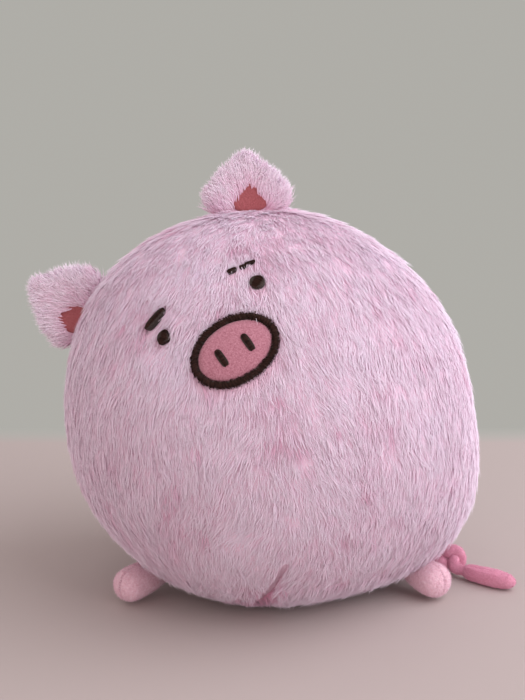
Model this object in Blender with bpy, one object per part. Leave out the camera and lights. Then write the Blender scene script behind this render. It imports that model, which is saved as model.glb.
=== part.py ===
"""A round plush pig: a stuffed ball of long pile with a sewn-on snout, an embroidered
face rolled to one side, two folding ears, two stuffed feet and a long knotted tail.

Metres, +Z up. The pig faces -Y and +X is on the right of someone who looks at its face.
The origin is the middle of the flat sole, on the table.
"""

import math

import bmesh
import bpy
from mathutils import Matrix, Vector

# Gaps and cuts that all pieces share
CLEARANCE = 0.0003
OVERRUN = 0.006

# Body, measured to the tips of the pile
BODY_WIDTH = 0.2190
BODY_DEPTH = 0.2040
BODY_HEIGHT = 0.2170
SOLE_PRESS = 0.0045
SOLE_CUT = 0.0005
SOLE_SOFTNESS = 0.0020
FUR_THICKNESS = 0.0090
SOLE_THICKNESS = 0.0065
SEAM_SETBACK = 0.0060
BODY_SEGMENTS = 40
BODY_RINGS = 20

# Where the stuffing swells or sinks: azimuth from the front towards +X, elevation and
# spread in degrees, and the share of the radius
SWELL_SHARES = (
    (98, -35, 27, 0.185),
    (-85, 38, 28, 0.040),
    (85, 55, 28, -0.025),
    (-90, -30, 28, 0.030),
    (90, 5, 24, -0.015),
)

# The dart that closes the front panel above the sole
DART_AZIMUTH = 0
DART_ELEVATION = -48
DART_LENGTH = 0.0300
DART_WIDTH = 0.0024
DART_DEPTH = 0.0022

# Face: its middle is the snout's, and its top leans towards -X
FACE_AZIMUTH = -11.4
FACE_ELEVATION = 30.8
FACE_ROLL = 35.5
FACE_POCKET_DEPTH = 0.0030

SNOUT_WIDTH = 0.0470
SNOUT_HEIGHT = 0.0344
SNOUT_BORDER_WIDTH = 0.0039
SNOUT_BORDER_PROUD = 0.0002
SNOUT_PATCH_SINK = 0.0008

NOSTRIL_WIDTH = 0.0040
NOSTRIL_HEIGHT = 0.0095
NOSTRIL_SPACING = 0.0146
NOSTRIL_DROP = 0.0005
NOSTRIL_LEAN = 4
NOSTRIL_INLAY = 0.0009
NOSTRIL_PROUD = 0.0007

EYE_DIAMETER = 0.0081
EYE_SPACING = 0.0554
EYE_RISE = 0.0270
BROW_LENGTH = 0.0147
BROW_THICKNESS = 0.0041
BROW_SPACING = 0.0554
BROW_RISE = 0.0402
BROW_SLOPE = 11
STITCH_SINK = 0.0022
STITCH_PROUD = 0.0003

# How far the section of a pad, and of its pocket, is drawn towards a drum's
PAD_FULLNESS_SHARE = 0.8
POCKET_FULLNESS_SHARE = 1.0
TROUGH_FULLNESS_SHARE = 0.5
ROUND_POWER = 2.0
BAR_POWER = 3.0

# Ears, in the side seam: angle from straight up towards +X
EAR_ANGLES = {"left": -62.0, "right": -3.9}
EAR_WIDTH = 0.0670
EAR_HEIGHT = 0.0300
EAR_THICKNESS = 0.0100
EAR_FOLD_FORWARD = 30
EAR_NARROWING_SHARE = 0.58
EAR_FULLNESS_SHARE = 0.5
EAR_CORNER_POWER = 2.6
LINING_WIDTH_SHARE = 0.56
LINING_HEIGHT_SHARE = 0.62
LINING_RISE_SHARE = 0.30
LINING_THICKNESS = 0.0020
LINING_SINK = 0.0010

# Feet: azimuth of the root round the body, and of the toe from the root
FOOT_ROOT_AZIMUTHS = {"left": -78.0, "right": 81.0}
FOOT_TOE_AZIMUTHS = {"left": -40.0, "right": 38.0}
FOOT_SWING_INWARD = 10
FOOT_SWING_OUTWARD = 25
FOOT_SWING_SPARE = 2
FOOT_ROOT_DIAMETER = 0.0150
FOOT_TOE_DIAMETER = 0.0204
FOOT_REACHES = {"left": 0.0190, "right": 0.0120}
FOOT_ROOT_LEVEL = 0.0115
FOOT_LIFT = 0.0004
FOOT_SEAT = 0.0050
FOOT_SEAT_CLEARANCE = 0.0007
FLEECE_THICKNESS = 0.0015

# Tail: a fleece tube that leaves low on the back, lies round the body and is knotted once
TAIL_DIAMETER = 0.0090
TAIL_SEAT = 0.0012
TAIL_ROOT_AZIMUTH = 160
TAIL_ROOT_LEVEL_SHARE = 0.385
# Azimuth round the body, level as a share of the middle's height, and distance out of the
# pile as a share of the tail's diameter
TAIL_ROUTE_SHARES = (
    (158, 0.345, 1.30),
    (149, 0.230, 1.70),
    (135, 0.125, 1.50),
    (121, 0.090, 1.05),
    (110, 0.085, 0.90),
)
NECK_AZIMUTH = 101
NECK_LEVEL_SHARE = 0.080
NECK_DISTANCE_SHARE = 0.95
NECK_DIAMETER = 0.0054
NECK_START_SHARE = 0.6
NECK_CUP_SHARE = 0.72
TAIL_STEP = 0.0055

# Knot, in diameters of its drawn-tight strand
STRAND_DIAMETER = 0.0034
KNOT_RING_SHARE = 1.35
KNOT_SWING_SHARE = 0.62
KNOT_LIFT_SHARE = 0.66
KNOT_LEG_SHARE = 1.35
KNOT_LEG_SPREAD_SHARE = 1.75
KNOT_REACH_SHARE = 3.40
KNOT_LEVEL_SHARE = 2.20
KNOT_AZIMUTH = 62
KNOT_LEAN = 35
KNOT_TURN_POINTS = 34

TAIL_END_LENGTH = 0.0330
TAIL_END_WIDTH = 0.0104
TAIL_END_THICKNESS = 0.0070
TAIL_END_AZIMUTH = 56
TAIL_END_NARROWING_SHARE = 0.25
TAIL_END_FULLNESS_SHARE = 0.75
TAIL_END_CORNER_POWER = 3.0

CENTRE = Vector((0, 0, BODY_HEIGHT / 2 - SOLE_PRESS))
REACH = max(BODY_WIDTH, BODY_DEPTH, BODY_HEIGHT)
UP = Vector((0, 0, 1))

# Colour (linear), and roughness
FINISHES = {
    "fur": ((0.74, 0.52, 0.63), 0.95),
    "stuffing": ((0.86, 0.85, 0.83), 1.00),
    "snout_fabric": ((0.62, 0.27, 0.34), 0.90),
    "thread": ((0.048, 0.026, 0.020), 0.75),
    "lining": ((0.40, 0.12, 0.14), 0.90),
    "fleece": ((0.70, 0.42, 0.50), 0.95),
}

finishes = {}
parts = None
cutters = None


def start():
    """Empties the scene and makes the two collections and the materials."""
    global parts, cutters
    for old in list(bpy.data.objects):
        bpy.data.objects.remove(old, do_unlink=True)
    parts = bpy.data.collections.new("plush_pig")
    cutters = bpy.data.collections.new("plush_pig_cutters")
    for collection in (parts, cutters):
        bpy.context.scene.collection.children.link(collection)
    for name, (colour, roughness) in FINISHES.items():
        material = bpy.data.materials.new(name)
        material.use_nodes = True
        shader = material.node_tree.nodes["Principled BSDF"]
        shader.inputs["Base Color"].default_value = (*colour, 1)
        shader.inputs["Roughness"].default_value = roughness
        shader.inputs["Metallic"].default_value = 0
        finishes[name] = material


def add_mesh(name, mesh, finish, parent=None):
    """Makes a smooth-shaded part from a mesh that is in its parent's frame."""
    thing = bpy.data.objects.new(name, mesh)
    parts.objects.link(thing)
    mesh.materials.append(finishes[finish])
    mesh.shade_smooth()
    mesh.set_sharp_from_angle(angle=math.radians(50))
    thing.parent = parent
    return thing


def add_cutter(name, mesh, parent=None):
    """Makes a hidden solid that only shapes other pieces."""
    thing = bpy.data.objects.new(name, mesh)
    cutters.objects.link(thing)
    thing.parent = parent
    thing.hide_render = True
    thing.display_type = "WIRE"
    return thing


def shape_with(thing, tool, operation="DIFFERENCE"):
    """Adds a Boolean that cuts the piece by the tool, or keeps what they share."""
    modifier = thing.modifiers.new(tool.name, "BOOLEAN")
    modifier.operation = operation
    modifier.solver = "EXACT"
    modifier.object = tool


def frame_at(name, place, across=Vector((1, 0, 0)), along=Vector((0, 1, 0)), parent=None):
    """Makes an empty on a joint's axis, turned to the given first two axes."""
    empty = bpy.data.objects.new(name, None)
    parts.objects.link(empty)
    turn = Matrix((across, along, across.cross(along))).transposed()
    world = Matrix.Translation(place) @ turn.to_4x4()
    if parent:
        empty.parent = parent
        empty.matrix_basis = parent.matrix_basis.inverted() @ world
    else:
        empty.matrix_basis = world
    return empty


def towards(azimuth, elevation=0):
    """The direction at an azimuth from the front towards +X, and an elevation, in degrees."""
    turn = math.radians(azimuth)
    rise = math.radians(elevation)
    flat = math.cos(rise)
    return Vector((flat * math.sin(turn), -flat * math.cos(turn), math.sin(rise)))


def pile_radius(direction):
    """How far the tips of the pile are from the body's centre in a unit direction."""
    sides = (BODY_WIDTH / 2, BODY_DEPTH / 2, BODY_HEIGHT / 2)
    radius = 1 / math.sqrt(sum((value / side) ** 2 for value, side in zip(direction, sides)))
    swell = 1
    for azimuth, elevation, spread, share in SWELL_SHARES:
        away = 1 - direction.dot(towards(azimuth, elevation))
        swell += share * math.exp(-away / (1 - math.cos(math.radians(spread))))
    return radius * swell


def body_point(direction, height=0.0):
    """The point at a height over the tips of the pile, in a unit direction."""
    return CENTRE + direction * (pile_radius(direction) + height)


def settled(point):
    """Presses the underside of the body flat against the table, with a soft edge."""
    depth = (point.z + SOLE_CUT) / SOLE_SOFTNESS
    if depth < BODY_RINGS:
        point.z = SOLE_SOFTNESS * math.log1p(math.exp(depth)) - SOLE_CUT
    return point


def height_over_body(point):
    """How far a point is outside the tips of the pile."""
    away = point - CENTRE
    return away.length - pile_radius(away.normalized())


def beside_body(azimuth, level, height):
    """The point at a level over the table that is a height outside the pile."""
    low = 0.0
    high = 2 * REACH
    heading = towards(azimuth)
    for _ in range(40):
        middle = (low + high) / 2
        if height_over_body(heading * middle + UP * level) < height:
            low = middle
        else:
            high = middle
    return heading * low + UP * level


def face_frame():
    """The face's outward direction, and its own right and up."""
    out = towards(FACE_AZIMUTH, FACE_ELEVATION)
    up = (UP - out * UP.dot(out)).normalized()
    right = up.cross(out)
    roll = math.radians(FACE_ROLL)
    face_right = right * math.cos(roll) + up * math.sin(roll)
    face_up = up * math.cos(roll) - right * math.sin(roll)
    return out, face_right, face_up


def on_face(x, y, height):
    """The point over the pile at x to the face's right and y up it, from the snout."""
    out, right, up = face_frame()
    away = out * pile_radius(out) + right * x + up * y
    return body_point(away.normalized(), height)


def to_mesh(name, form):
    mesh = bpy.data.meshes.new(name)
    form.to_mesh(mesh)
    form.free()
    return mesh


def rounded_form(name, place, segments, rings, fullness=0.0, corner_power=2.0):
    """A ball whose section is drawn towards a drum's, and its outline towards a
    rectangle's, with each point then moved by place(x, y, z)."""
    form = bmesh.new()
    bmesh.ops.create_uvsphere(form, u_segments=segments, v_segments=rings, radius=1)
    for vertex in form.verts:
        x, y, z = vertex.co
        flat = math.hypot(x, y)
        grow = max(flat, abs(z)) ** -fullness
        if flat > CLEARANCE:
            corner = (abs(x) / flat) ** corner_power + (abs(y) / flat) ** corner_power
            widen = grow * corner ** (-1 / corner_power)
        else:
            widen = 0
        vertex.co = place(x * widen, y * widen, z * grow)
    bmesh.ops.triangulate(form, faces=form.faces, quad_method="FIXED")
    return to_mesh(name, form)


def box(name, low, high, parent=None):
    """A box-shaped cutter between two corners."""
    form = bmesh.new()
    bmesh.ops.create_cube(form, size=1)
    for vertex in form.verts:
        vertex.co = Vector(
            high[k] if vertex.co[k] > 0 else low[k] for k in range(3)
        )
    return add_cutter(name, to_mesh(name, form), parent)


def pile_form(name):
    """The outside of the pile all round."""

    def place(x, y, z):
        return settled(body_point(Vector((x, y, z)).normalized()))

    return rounded_form(name, place, BODY_SEGMENTS, BODY_RINGS)


def core_form(name, gap=0.0):
    """The space inside the pile panels, drawn in by a gap."""

    def place(x, y, z):
        point = body_point(Vector((x, y, z)).normalized(), -FUR_THICKNESS)
        point.z = max(point.z, SOLE_THICKNESS)
        return point + (CENTRE - point).normalized() * gap

    return rounded_form(name, place, BODY_SEGMENTS, BODY_RINGS)


def make_body():
    """The stuffing, and the front and back pile panels sewn round it."""
    add_mesh("body_stuffing", core_form("body_stuffing", CLEARANCE), "stuffing")
    hollow = add_cutter("body_hollow", core_form("body_hollow"))
    halves = {
        "body_front_fur": (-REACH, SEAM_SETBACK - CLEARANCE / 2),
        "body_back_fur": (SEAM_SETBACK + CLEARANCE / 2, REACH),
    }
    panels = []
    for name, (front, back) in halves.items():
        panel = add_mesh(name, pile_form(name), "fur")
        half = box(name + "_half", (-REACH, front, 0), (REACH, back, 2 * REACH))
        shape_with(panel, half, "INTERSECT")
        shape_with(panel, hollow)
        panels.append(panel)
    return panels


def cut_dart(front):
    """The short crease where the front panel is taken in above the sole."""
    out = towards(DART_AZIMUTH, DART_ELEVATION)
    up = (UP - out * UP.dot(out)).normalized()
    right = up.cross(out)
    middle = body_point(out)

    def place(x, y, z):
        across = right * (x * DART_WIDTH / 2)
        return middle + across + up * (y * DART_LENGTH / 2) + out * (z * DART_DEPTH)

    mesh = rounded_form("dart", place, 12, 8)
    shape_with(front, add_cutter("dart", mesh))


def stitch_form(name, centre, half_size, lean, bottom, top, fullness, corner_power, detail):
    """A low pad that lies on the face, bent to the body under it."""
    turn = math.radians(lean)

    def place(x, y, z):
        wide = x * half_size[0]
        high = y * half_size[1]
        across = centre[0] + wide * math.cos(turn) - high * math.sin(turn)
        rise = centre[1] + wide * math.sin(turn) + high * math.cos(turn)
        return on_face(across, rise, (bottom + top) / 2 + z * (top - bottom) / 2)

    return rounded_form(name, place, *detail, fullness, corner_power)


def stitched_pad(name, finish, host, centre, half_size, lean, bottom, top, corner_power, detail):
    """A pad with the pocket that it lies in, cut in its host."""
    shape = (PAD_FULLNESS_SHARE, corner_power, detail)
    arguments = (centre, half_size, lean, bottom, top, *shape)
    pad = add_mesh(name, stitch_form(name, *arguments), finish)
    grown = tuple(size + CLEARANCE for size in half_size)
    deeper = bottom - CLEARANCE
    shape = (POCKET_FULLNESS_SHARE, corner_power, detail)
    arguments = (centre, grown, lean, deeper, OVERRUN, *shape)
    pocket = stitch_form(name + "_pocket", *arguments)
    shape_with(host, add_cutter(name + "_pocket", pocket))
    return pad


def make_snout(front):
    """The fabric patch, its satin-stitch border and the two nostrils."""
    outer = (SNOUT_WIDTH / 2, SNOUT_HEIGHT / 2)
    inner = tuple(size - SNOUT_BORDER_WIDTH for size in outer)
    middle = (0, 0)
    detail = (32, 12)
    bottom = -FACE_POCKET_DEPTH
    grown = tuple(size + CLEARANCE for size in outer)
    shape = (POCKET_FULLNESS_SHARE, ROUND_POWER, detail)
    arguments = (middle, grown, 0, bottom - CLEARANCE, OVERRUN, *shape)
    pocket = add_cutter("snout_pocket", stitch_form("snout_pocket", *arguments))
    shape_with(front, pocket)

    patch_size = tuple(size - CLEARANCE for size in inner)
    shape = (PAD_FULLNESS_SHARE, ROUND_POWER, detail)
    arguments = (middle, patch_size, 0, bottom, -SNOUT_PATCH_SINK, *shape)
    patch = add_mesh("snout_patch", stitch_form("snout_patch", *arguments), "snout_fabric")

    tube_share = 0.25
    bpy.ops.mesh.primitive_torus_add(
        major_segments=detail[0], minor_segments=8, major_radius=1, minor_radius=tube_share
    )
    ring = bpy.context.object
    mesh = ring.data
    bpy.data.objects.remove(ring)
    mesh.name = "snout_border"
    half_border = SNOUT_BORDER_WIDTH / 2
    centre_height = (SNOUT_BORDER_PROUD + bottom) / 2
    half_thickness = (SNOUT_BORDER_PROUD - bottom) / 2
    for vertex in mesh.vertices:
        x, y, z = vertex.co
        flat = math.hypot(x, y)
        outward = (flat - 1) / tube_share * half_border
        across = x / flat * (inner[0] + half_border + outward)
        rise = y / flat * (inner[1] + half_border + outward)
        vertex.co = on_face(across, rise, centre_height + z / tube_share * half_thickness)
    add_mesh("snout_border", mesh, "thread")

    top = NOSTRIL_PROUD - SNOUT_PATCH_SINK
    bottom = -SNOUT_PATCH_SINK - NOSTRIL_INLAY
    half_size = (NOSTRIL_WIDTH / 2, NOSTRIL_HEIGHT / 2)
    for side, sign in (("left", -1), ("right", 1)):
        centre = (sign * NOSTRIL_SPACING / 2, -NOSTRIL_DROP)
        name = "nostril_" + side
        stitched_pad(
            name, "thread", patch, centre, half_size, NOSTRIL_LEAN, bottom, top, BAR_POWER, (20, 8)
        )


def make_eyes_and_brows(front):
    """The round eyes and the short brows over them, whose inner ends stand higher."""
    for side, sign in (("left", -1), ("right", 1)):
        stitched_pad(
            "eye_" + side,
            "thread",
            front,
            (sign * EYE_SPACING / 2, EYE_RISE),
            (EYE_DIAMETER / 2, EYE_DIAMETER / 2),
            0,
            -STITCH_SINK,
            STITCH_PROUD,
            ROUND_POWER,
            (16, 8),
        )
        stitched_pad(
            "brow_" + side,
            "thread",
            front,
            (sign * BROW_SPACING / 2, BROW_RISE),
            (BROW_LENGTH / 2, BROW_THICKNESS / 2),
            -sign * BROW_SLOPE,
            -STITCH_SINK,
            STITCH_PROUD,
            BAR_POWER,
            (20, 8),
        )


def make_ear(side, panels):
    """A folded pile panel with its lining, hinged along the side seam."""
    angle = math.radians(EAR_ANGLES[side])
    out = Vector((math.sin(angle), 0, math.cos(angle)))
    along = Vector((math.cos(angle), 0, -math.sin(angle)))
    seat = body_point((out * REACH / 2 + Vector((0, SEAM_SETBACK, 0))).normalized())
    root_radius = EAR_THICKNESS / 2
    axis_height = root_radius * math.sin(math.radians(EAR_FOLD_FORWARD))
    hinge = frame_at("ear_%s_hinge" % side, seat + out * axis_height, along, out)
    tall = EAR_HEIGHT + root_radius

    def place(x, y, z):
        rise = (y + 1) / 2
        wide = x * EAR_WIDTH / 2 * (1 - EAR_NARROWING_SHARE * rise)
        return Vector((wide, rise * tall - root_radius, z * root_radius))

    name = "ear_%s_fur" % side
    mesh = rounded_form(name, place, 28, 12, EAR_FULLNESS_SHARE, EAR_CORNER_POWER)
    fur = add_mesh(name, mesh, "fur", hinge)

    def lining(title, grown, back, face, fullness):
        half_width = EAR_WIDTH / 2 * LINING_WIDTH_SHARE + grown
        half_height = EAR_HEIGHT / 2 * LINING_HEIGHT_SHARE + grown
        middle = EAR_HEIGHT * LINING_RISE_SHARE + half_height - grown

        def place_lining(x, y, z):
            rise = (y + 1) / 2
            wide = x * half_width * (1 - EAR_NARROWING_SHARE * rise)
            depth = (back + face) / 2 + z * (face - back) / 2
            return Vector((wide, middle - root_radius + y * half_height, depth))

        return rounded_form(title, place_lining, 24, 8, fullness, EAR_CORNER_POWER)

    face = root_radius - LINING_SINK
    back = face - LINING_THICKNESS
    title = "ear_%s_lining" % side
    pocket = add_cutter(
        title + "_pocket",
        lining(title + "_pocket", CLEARANCE, back - CLEARANCE, face + OVERRUN, POCKET_FULLNESS_SHARE),
        hinge,
    )
    shape_with(fur, pocket)
    add_mesh(title, lining(title, 0, back, face, PAD_FULLNESS_SHARE), "lining", hinge)

    def place_trough(x, y, z):
        radius = root_radius + CLEARANCE
        return Vector((z * (EAR_WIDTH / 2 + CLEARANCE), x * radius, y * radius))

    title = "ear_%s_trough" % side
    form = rounded_form(title, place_trough, 16, 12, TROUGH_FULLNESS_SHARE)
    trough = add_cutter(title, form, hinge)
    for panel in panels:
        shape_with(panel, trough)


def foot_form(name, root_radius, toe_radius, reach, drop, grown, swings=(0.0, 0.0)):
    """A stub that swells from a ball at the root to a larger ball at the toe. Swings to
    the left and to the right of the toe spread it into a fan."""

    def place(x, y, z):
        if z < 0:
            return Vector((z, x, y)) * (root_radius + grown)
        toe = Vector((reach, 0, -drop)) + Vector((z, x, y)) * (toe_radius + grown)
        if abs(x) > CLEARANCE:
            swing = swings[0] if x > 0 else -swings[1]
            toe.rotate(Matrix.Rotation(swing, 3, "Z"))
        return toe

    return rounded_form(name, place, 16, 9)


def make_foot(side, panels):
    """Two fleece panels round their stuffing, on a ball root in the body's side."""
    root_radius = FOOT_ROOT_DIAMETER / 2
    toe_radius = FOOT_TOE_DIAMETER / 2
    drop = FOOT_ROOT_LEVEL - toe_radius - FOOT_LIFT
    root = beside_body(FOOT_ROOT_AZIMUTHS[side], FOOT_ROOT_LEVEL, root_radius - FOOT_SEAT)
    toe = towards(FOOT_TOE_AZIMUTHS[side])
    hinge = frame_at("foot_%s_hinge" % side, root, toe, UP.cross(toe))
    reach = FOOT_REACHES[side]
    sizes = (root_radius, toe_radius, reach, drop)

    title = "foot_%s_hollow" % side
    hollow = add_cutter(title, foot_form(title, *sizes, -FLEECE_THICKNESS), hinge)
    far = reach + FOOT_TOE_DIAMETER
    left_half = (CLEARANCE / 2, far)
    right_half = (-far, -CLEARANCE / 2)
    halves = {"inner": left_half, "outer": right_half}
    if side == "right":
        halves = {"inner": right_half, "outer": left_half}
    for place_name, (low, high) in halves.items():
        name = "foot_%s_%s_panel" % (side, place_name)
        panel = add_mesh(name, foot_form(name, *sizes, 0), "fleece", hinge)
        half = box(name + "_half", (-far, low, -far), (far, high, far), hinge)
        shape_with(panel, half, "INTERSECT")
        shape_with(panel, hollow)
    name = "foot_%s_stuffing" % side
    add_mesh(name, foot_form(name, *sizes, -FLEECE_THICKNESS - CLEARANCE), "stuffing", hinge)

    swings = [
        math.radians(swing + FOOT_SWING_SPARE)
        for swing in (FOOT_SWING_INWARD, FOOT_SWING_OUTWARD)
    ]
    if side == "right":
        swings.reverse()
    title = "foot_%s_seat" % side
    seat = add_cutter(title, foot_form(title, *sizes, FOOT_SEAT_CLEARANCE, swings), hinge)
    for panel in panels:
        shape_with(panel, seat)


def smooth_route(points, step):
    """Points a step apart along a smooth curve through the given ones."""
    ends = [2 * points[0] - points[1], *points, 2 * points[-1] - points[-2]]
    route = []
    for a, b, c, d in zip(ends, ends[1:], ends[2:], ends[3:]):
        count = max(1, round((c - b).length / step))
        for k in range(count):
            t = k / count
            route.append(
                0.5 * (
                    2 * b
                    + (c - a) * t
                    + (2 * a - 5 * b + 4 * c - d) * t ** 2
                    + (3 * b - a - 3 * c + d) * t ** 3
                )
            )
    return [*route, points[-1]]


def tube(name, route, radii, finish, hinge, place, sides=2):
    """A mesh tube along a route, each point with its own radius."""
    curve = bpy.data.curves.new(name, "CURVE")
    curve.dimensions = "3D"
    curve.bevel_depth = 1
    curve.bevel_resolution = sides
    curve.render_resolution_u = 0
    curve.use_fill_caps = True
    spline = curve.splines.new("POLY")
    spline.points.add(len(route) - 1)
    for point, spot, radius in zip(spline.points, route, radii):
        point.co = (*(spot - place), 1)
        point.radius = radius
    guide = bpy.data.objects.new(name + "_guide", curve)
    cutters.objects.link(guide)
    evaluated = guide.evaluated_get(bpy.context.evaluated_depsgraph_get())
    mesh = bpy.data.meshes.new_from_object(evaluated)
    bpy.data.objects.remove(guide)
    form = bmesh.new()
    form.from_mesh(mesh)
    bmesh.ops.remove_doubles(form, verts=form.verts, dist=CLEARANCE / 10)
    bmesh.ops.recalc_face_normals(form, faces=form.faces)
    mesh = to_mesh(name, form)
    return add_mesh(name, mesh, finish, hinge)


def ball_end(centre, inward, radius):
    """Route points and radii that round off a tube's start on a ball."""
    spots = []
    radii = []
    for degrees in (10, 35, 62):
        angle = math.radians(degrees)
        spots.append(centre + inward * (radius * math.cos(angle)))
        radii.append(radius * math.sin(angle))
    return spots, radii


def knot_points(centre, travel):
    """An overhand knot: two turns round a ring that swing in and out three times, with
    both legs leaving at its lower side."""
    lean = math.radians(KNOT_LEAN)
    back = UP.cross(travel)
    down = -UP * math.cos(lean) - back * math.sin(lean)
    side = -travel
    deep = down.cross(side)
    ring = STRAND_DIAMETER * KNOT_RING_SHARE
    swing = STRAND_DIAMETER * KNOT_SWING_SHARE
    lift = STRAND_DIAMETER * KNOT_LIFT_SHARE
    leg = STRAND_DIAMETER * KNOT_LEG_SHARE
    spread = STRAND_DIAMETER * KNOT_LEG_SPREAD_SHARE

    def at(low, across, out):
        return centre + down * low + side * across + deep * out

    points = [at(leg, spread, lift)]
    first = math.pi / 6
    for k in range(KNOT_TURN_POINTS + 1):
        t = first + (2 * math.pi - 2 * first) * k / KNOT_TURN_POINTS
        radius = ring + swing * math.cos(3 * t)
        low = radius * math.cos(2 * t)
        across = radius * math.sin(2 * t)
        points.append(at(low, across, lift * math.sin(3 * t)))
    points.append(at(leg, -spread, -lift))
    return points


def least_gap(route, diameter):
    """The least distance between two stretches of a strand, from surface to surface."""
    apart = math.ceil(math.pi * diameter / 2 / (route[1] - route[0]).length)
    gaps = [
        (a - b).length - diameter
        for k, a in enumerate(route)
        for b in route[k + apart + 1:]
    ]
    return min(gaps)


def make_tail(back_panel):
    """The tail's root, its knot and its loose end."""
    radius = TAIL_DIAMETER / 2
    middle = CENTRE.z
    root = beside_body(TAIL_ROOT_AZIMUTH, middle * TAIL_ROOT_LEVEL_SHARE, radius - TAIL_SEAT)
    neck = beside_body(
        NECK_AZIMUTH, middle * NECK_LEVEL_SHARE, TAIL_DIAMETER * NECK_DISTANCE_SHARE
    )
    swing = frame_at("tail_swing_hinge", root)
    bend = frame_at("tail_bend_hinge", neck, parent=swing)

    places = [root]
    for azimuth, level, distance in TAIL_ROUTE_SHARES:
        places.append(beside_body(azimuth, middle * level, TAIL_DIAMETER * distance))
    strand_radius = STRAND_DIAMETER / 2
    last = (neck - places[-1]).normalized()
    places.append(neck - last * (strand_radius * NECK_CUP_SHARE))
    route = smooth_route(places, TAIL_STEP)
    inward = (route[0] - route[1]).normalized()
    start_spots, start_radii = ball_end(route[0], inward, radius)
    count = len(route)
    radii = []
    for k in range(count):
        share = k / (count - 1)
        thin = max(0, share - NECK_START_SHARE) / (1 - NECK_START_SHARE)
        radii.append(radius + (NECK_DIAMETER / 2 - radius) * thin ** 2)
    tail = tube(
        "tail_root", start_spots + route, start_radii + radii, "fleece", swing, root
    )
    cup = rounded_form(
        "tail_neck_cup", lambda x, y, z: Vector((x, y, z)) * (strand_radius + CLEARANCE), 16, 10
    )
    shape_with(tail, add_cutter("tail_neck_cup", cup, bend))
    seat = rounded_form(
        "tail_seat", lambda x, y, z: Vector((x, y, z)) * (radius + CLEARANCE), 24, 12
    )
    shape_with(back_panel, add_cutter("tail_seat", seat, swing))

    travel = towards(KNOT_AZIMUTH)
    centre = neck + travel * (STRAND_DIAMETER * KNOT_REACH_SHARE)
    centre.z = STRAND_DIAMETER * KNOT_LEVEL_SHARE
    away = towards(TAIL_END_AZIMUTH)
    turns = knot_points(centre, travel)
    exit_point = turns[-1] + away * STRAND_DIAMETER
    exit_point.z = TAIL_END_THICKNESS / 2 + FOOT_LIFT
    strand = smooth_route([neck, *turns, exit_point], STRAND_DIAMETER / 2)
    print("Least gap in the knot, mm:", round(least_gap(strand, STRAND_DIAMETER) * 1000, 2))
    inward = (strand[0] - strand[1]).normalized()
    start_spots, start_radii = ball_end(strand[0], inward, strand_radius)
    radii = start_radii + [strand_radius] * len(strand)
    tube("tail_knot", start_spots + strand, radii, "fleece", bend, neck)

    def place(x, y, z):
        share = (1 - x) / 2
        wide = y * TAIL_END_WIDTH / 2 * (1 - TAIL_END_NARROWING_SHARE * share)
        thick = z * TAIL_END_THICKNESS / 2
        along = CLEARANCE + (x + 1) * TAIL_END_LENGTH / 2
        return exit_point - neck + away * along + UP.cross(away) * wide + UP * thick

    mesh = rounded_form(
        "tail_end", place, 28, 10, TAIL_END_FULLNESS_SHARE, TAIL_END_CORNER_POWER
    )
    add_mesh("tail_end", mesh, "fleece", bend)


start()
front_panel, back_panel = make_body()
cut_dart(front_panel)
make_snout(front_panel)
make_eyes_and_brows(front_panel)
for ear_side in EAR_ANGLES:
    make_ear(ear_side, (front_panel, back_panel))
for foot_side in FOOT_ROOT_AZIMUTHS:
    make_foot(foot_side, (front_panel, back_panel))
make_tail(back_panel)
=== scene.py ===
"""The looks of a round plush pig in long pile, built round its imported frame.

Metres, +Z up. The pig faces -Y and +X is on the right of someone who looks at its face.
Every soft form follows the solid that it replaces, and the pile, the threads and the
stitches are meshes that grow from those forms.
"""

import math

import bmesh
import bpy
import numpy as np
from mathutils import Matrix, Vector

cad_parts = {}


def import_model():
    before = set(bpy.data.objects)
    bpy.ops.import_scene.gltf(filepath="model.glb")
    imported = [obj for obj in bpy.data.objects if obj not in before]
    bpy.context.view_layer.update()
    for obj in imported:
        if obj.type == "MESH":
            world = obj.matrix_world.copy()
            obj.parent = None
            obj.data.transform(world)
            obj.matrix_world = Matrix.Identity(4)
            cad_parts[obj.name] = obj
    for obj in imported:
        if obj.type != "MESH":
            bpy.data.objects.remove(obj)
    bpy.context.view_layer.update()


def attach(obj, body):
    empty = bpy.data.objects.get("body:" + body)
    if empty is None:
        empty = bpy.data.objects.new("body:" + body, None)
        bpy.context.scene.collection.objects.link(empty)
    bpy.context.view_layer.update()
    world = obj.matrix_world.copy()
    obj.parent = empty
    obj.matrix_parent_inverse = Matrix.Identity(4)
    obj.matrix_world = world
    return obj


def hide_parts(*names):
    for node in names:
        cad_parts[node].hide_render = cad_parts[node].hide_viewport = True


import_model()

# Photograph
IMAGE_WIDTH = 525
IMAGE_HEIGHT = 700
BODY_PIXEL = (270, 405)
FOCAL_PIXELS = 1364.877
CAMERA_ELEVATION = 14
CAMERA_DISTANCE = 0.75
SENSOR = 36

# Body, measured to the mean height of the pile
BODY_WIDTH = 0.2190
BODY_DEPTH = 0.2040
BODY_HEIGHT = 0.2170
SOLE_PRESS = 0.0045
SOLE_CUT = 0.0005
SOLE_SOFTNESS = 0.0020
SEAM_SETBACK = 0.0060
SEAM_REACH = 0.0160
SEAM_DIP = 0.0012
CENTRE = np.array((0, 0, BODY_HEIGHT / 2 - SOLE_PRESS))
REACH = max(BODY_WIDTH, BODY_DEPTH, BODY_HEIGHT)
RIPPLE_WAVES = 9
UP = np.array((0.0, 0.0, 1.0))

# Where the stuffing swells or sinks: azimuth from the front towards +X, elevation and
# spread in degrees, and the share of the radius
SWELL_SHARES = (
    (98, -35, 27, 0.185),
    (-85, 38, 28, 0.040),
    (85, 55, 28, -0.025),
    (-90, -30, 28, 0.030),
    (90, 5, 24, -0.015),
)

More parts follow.
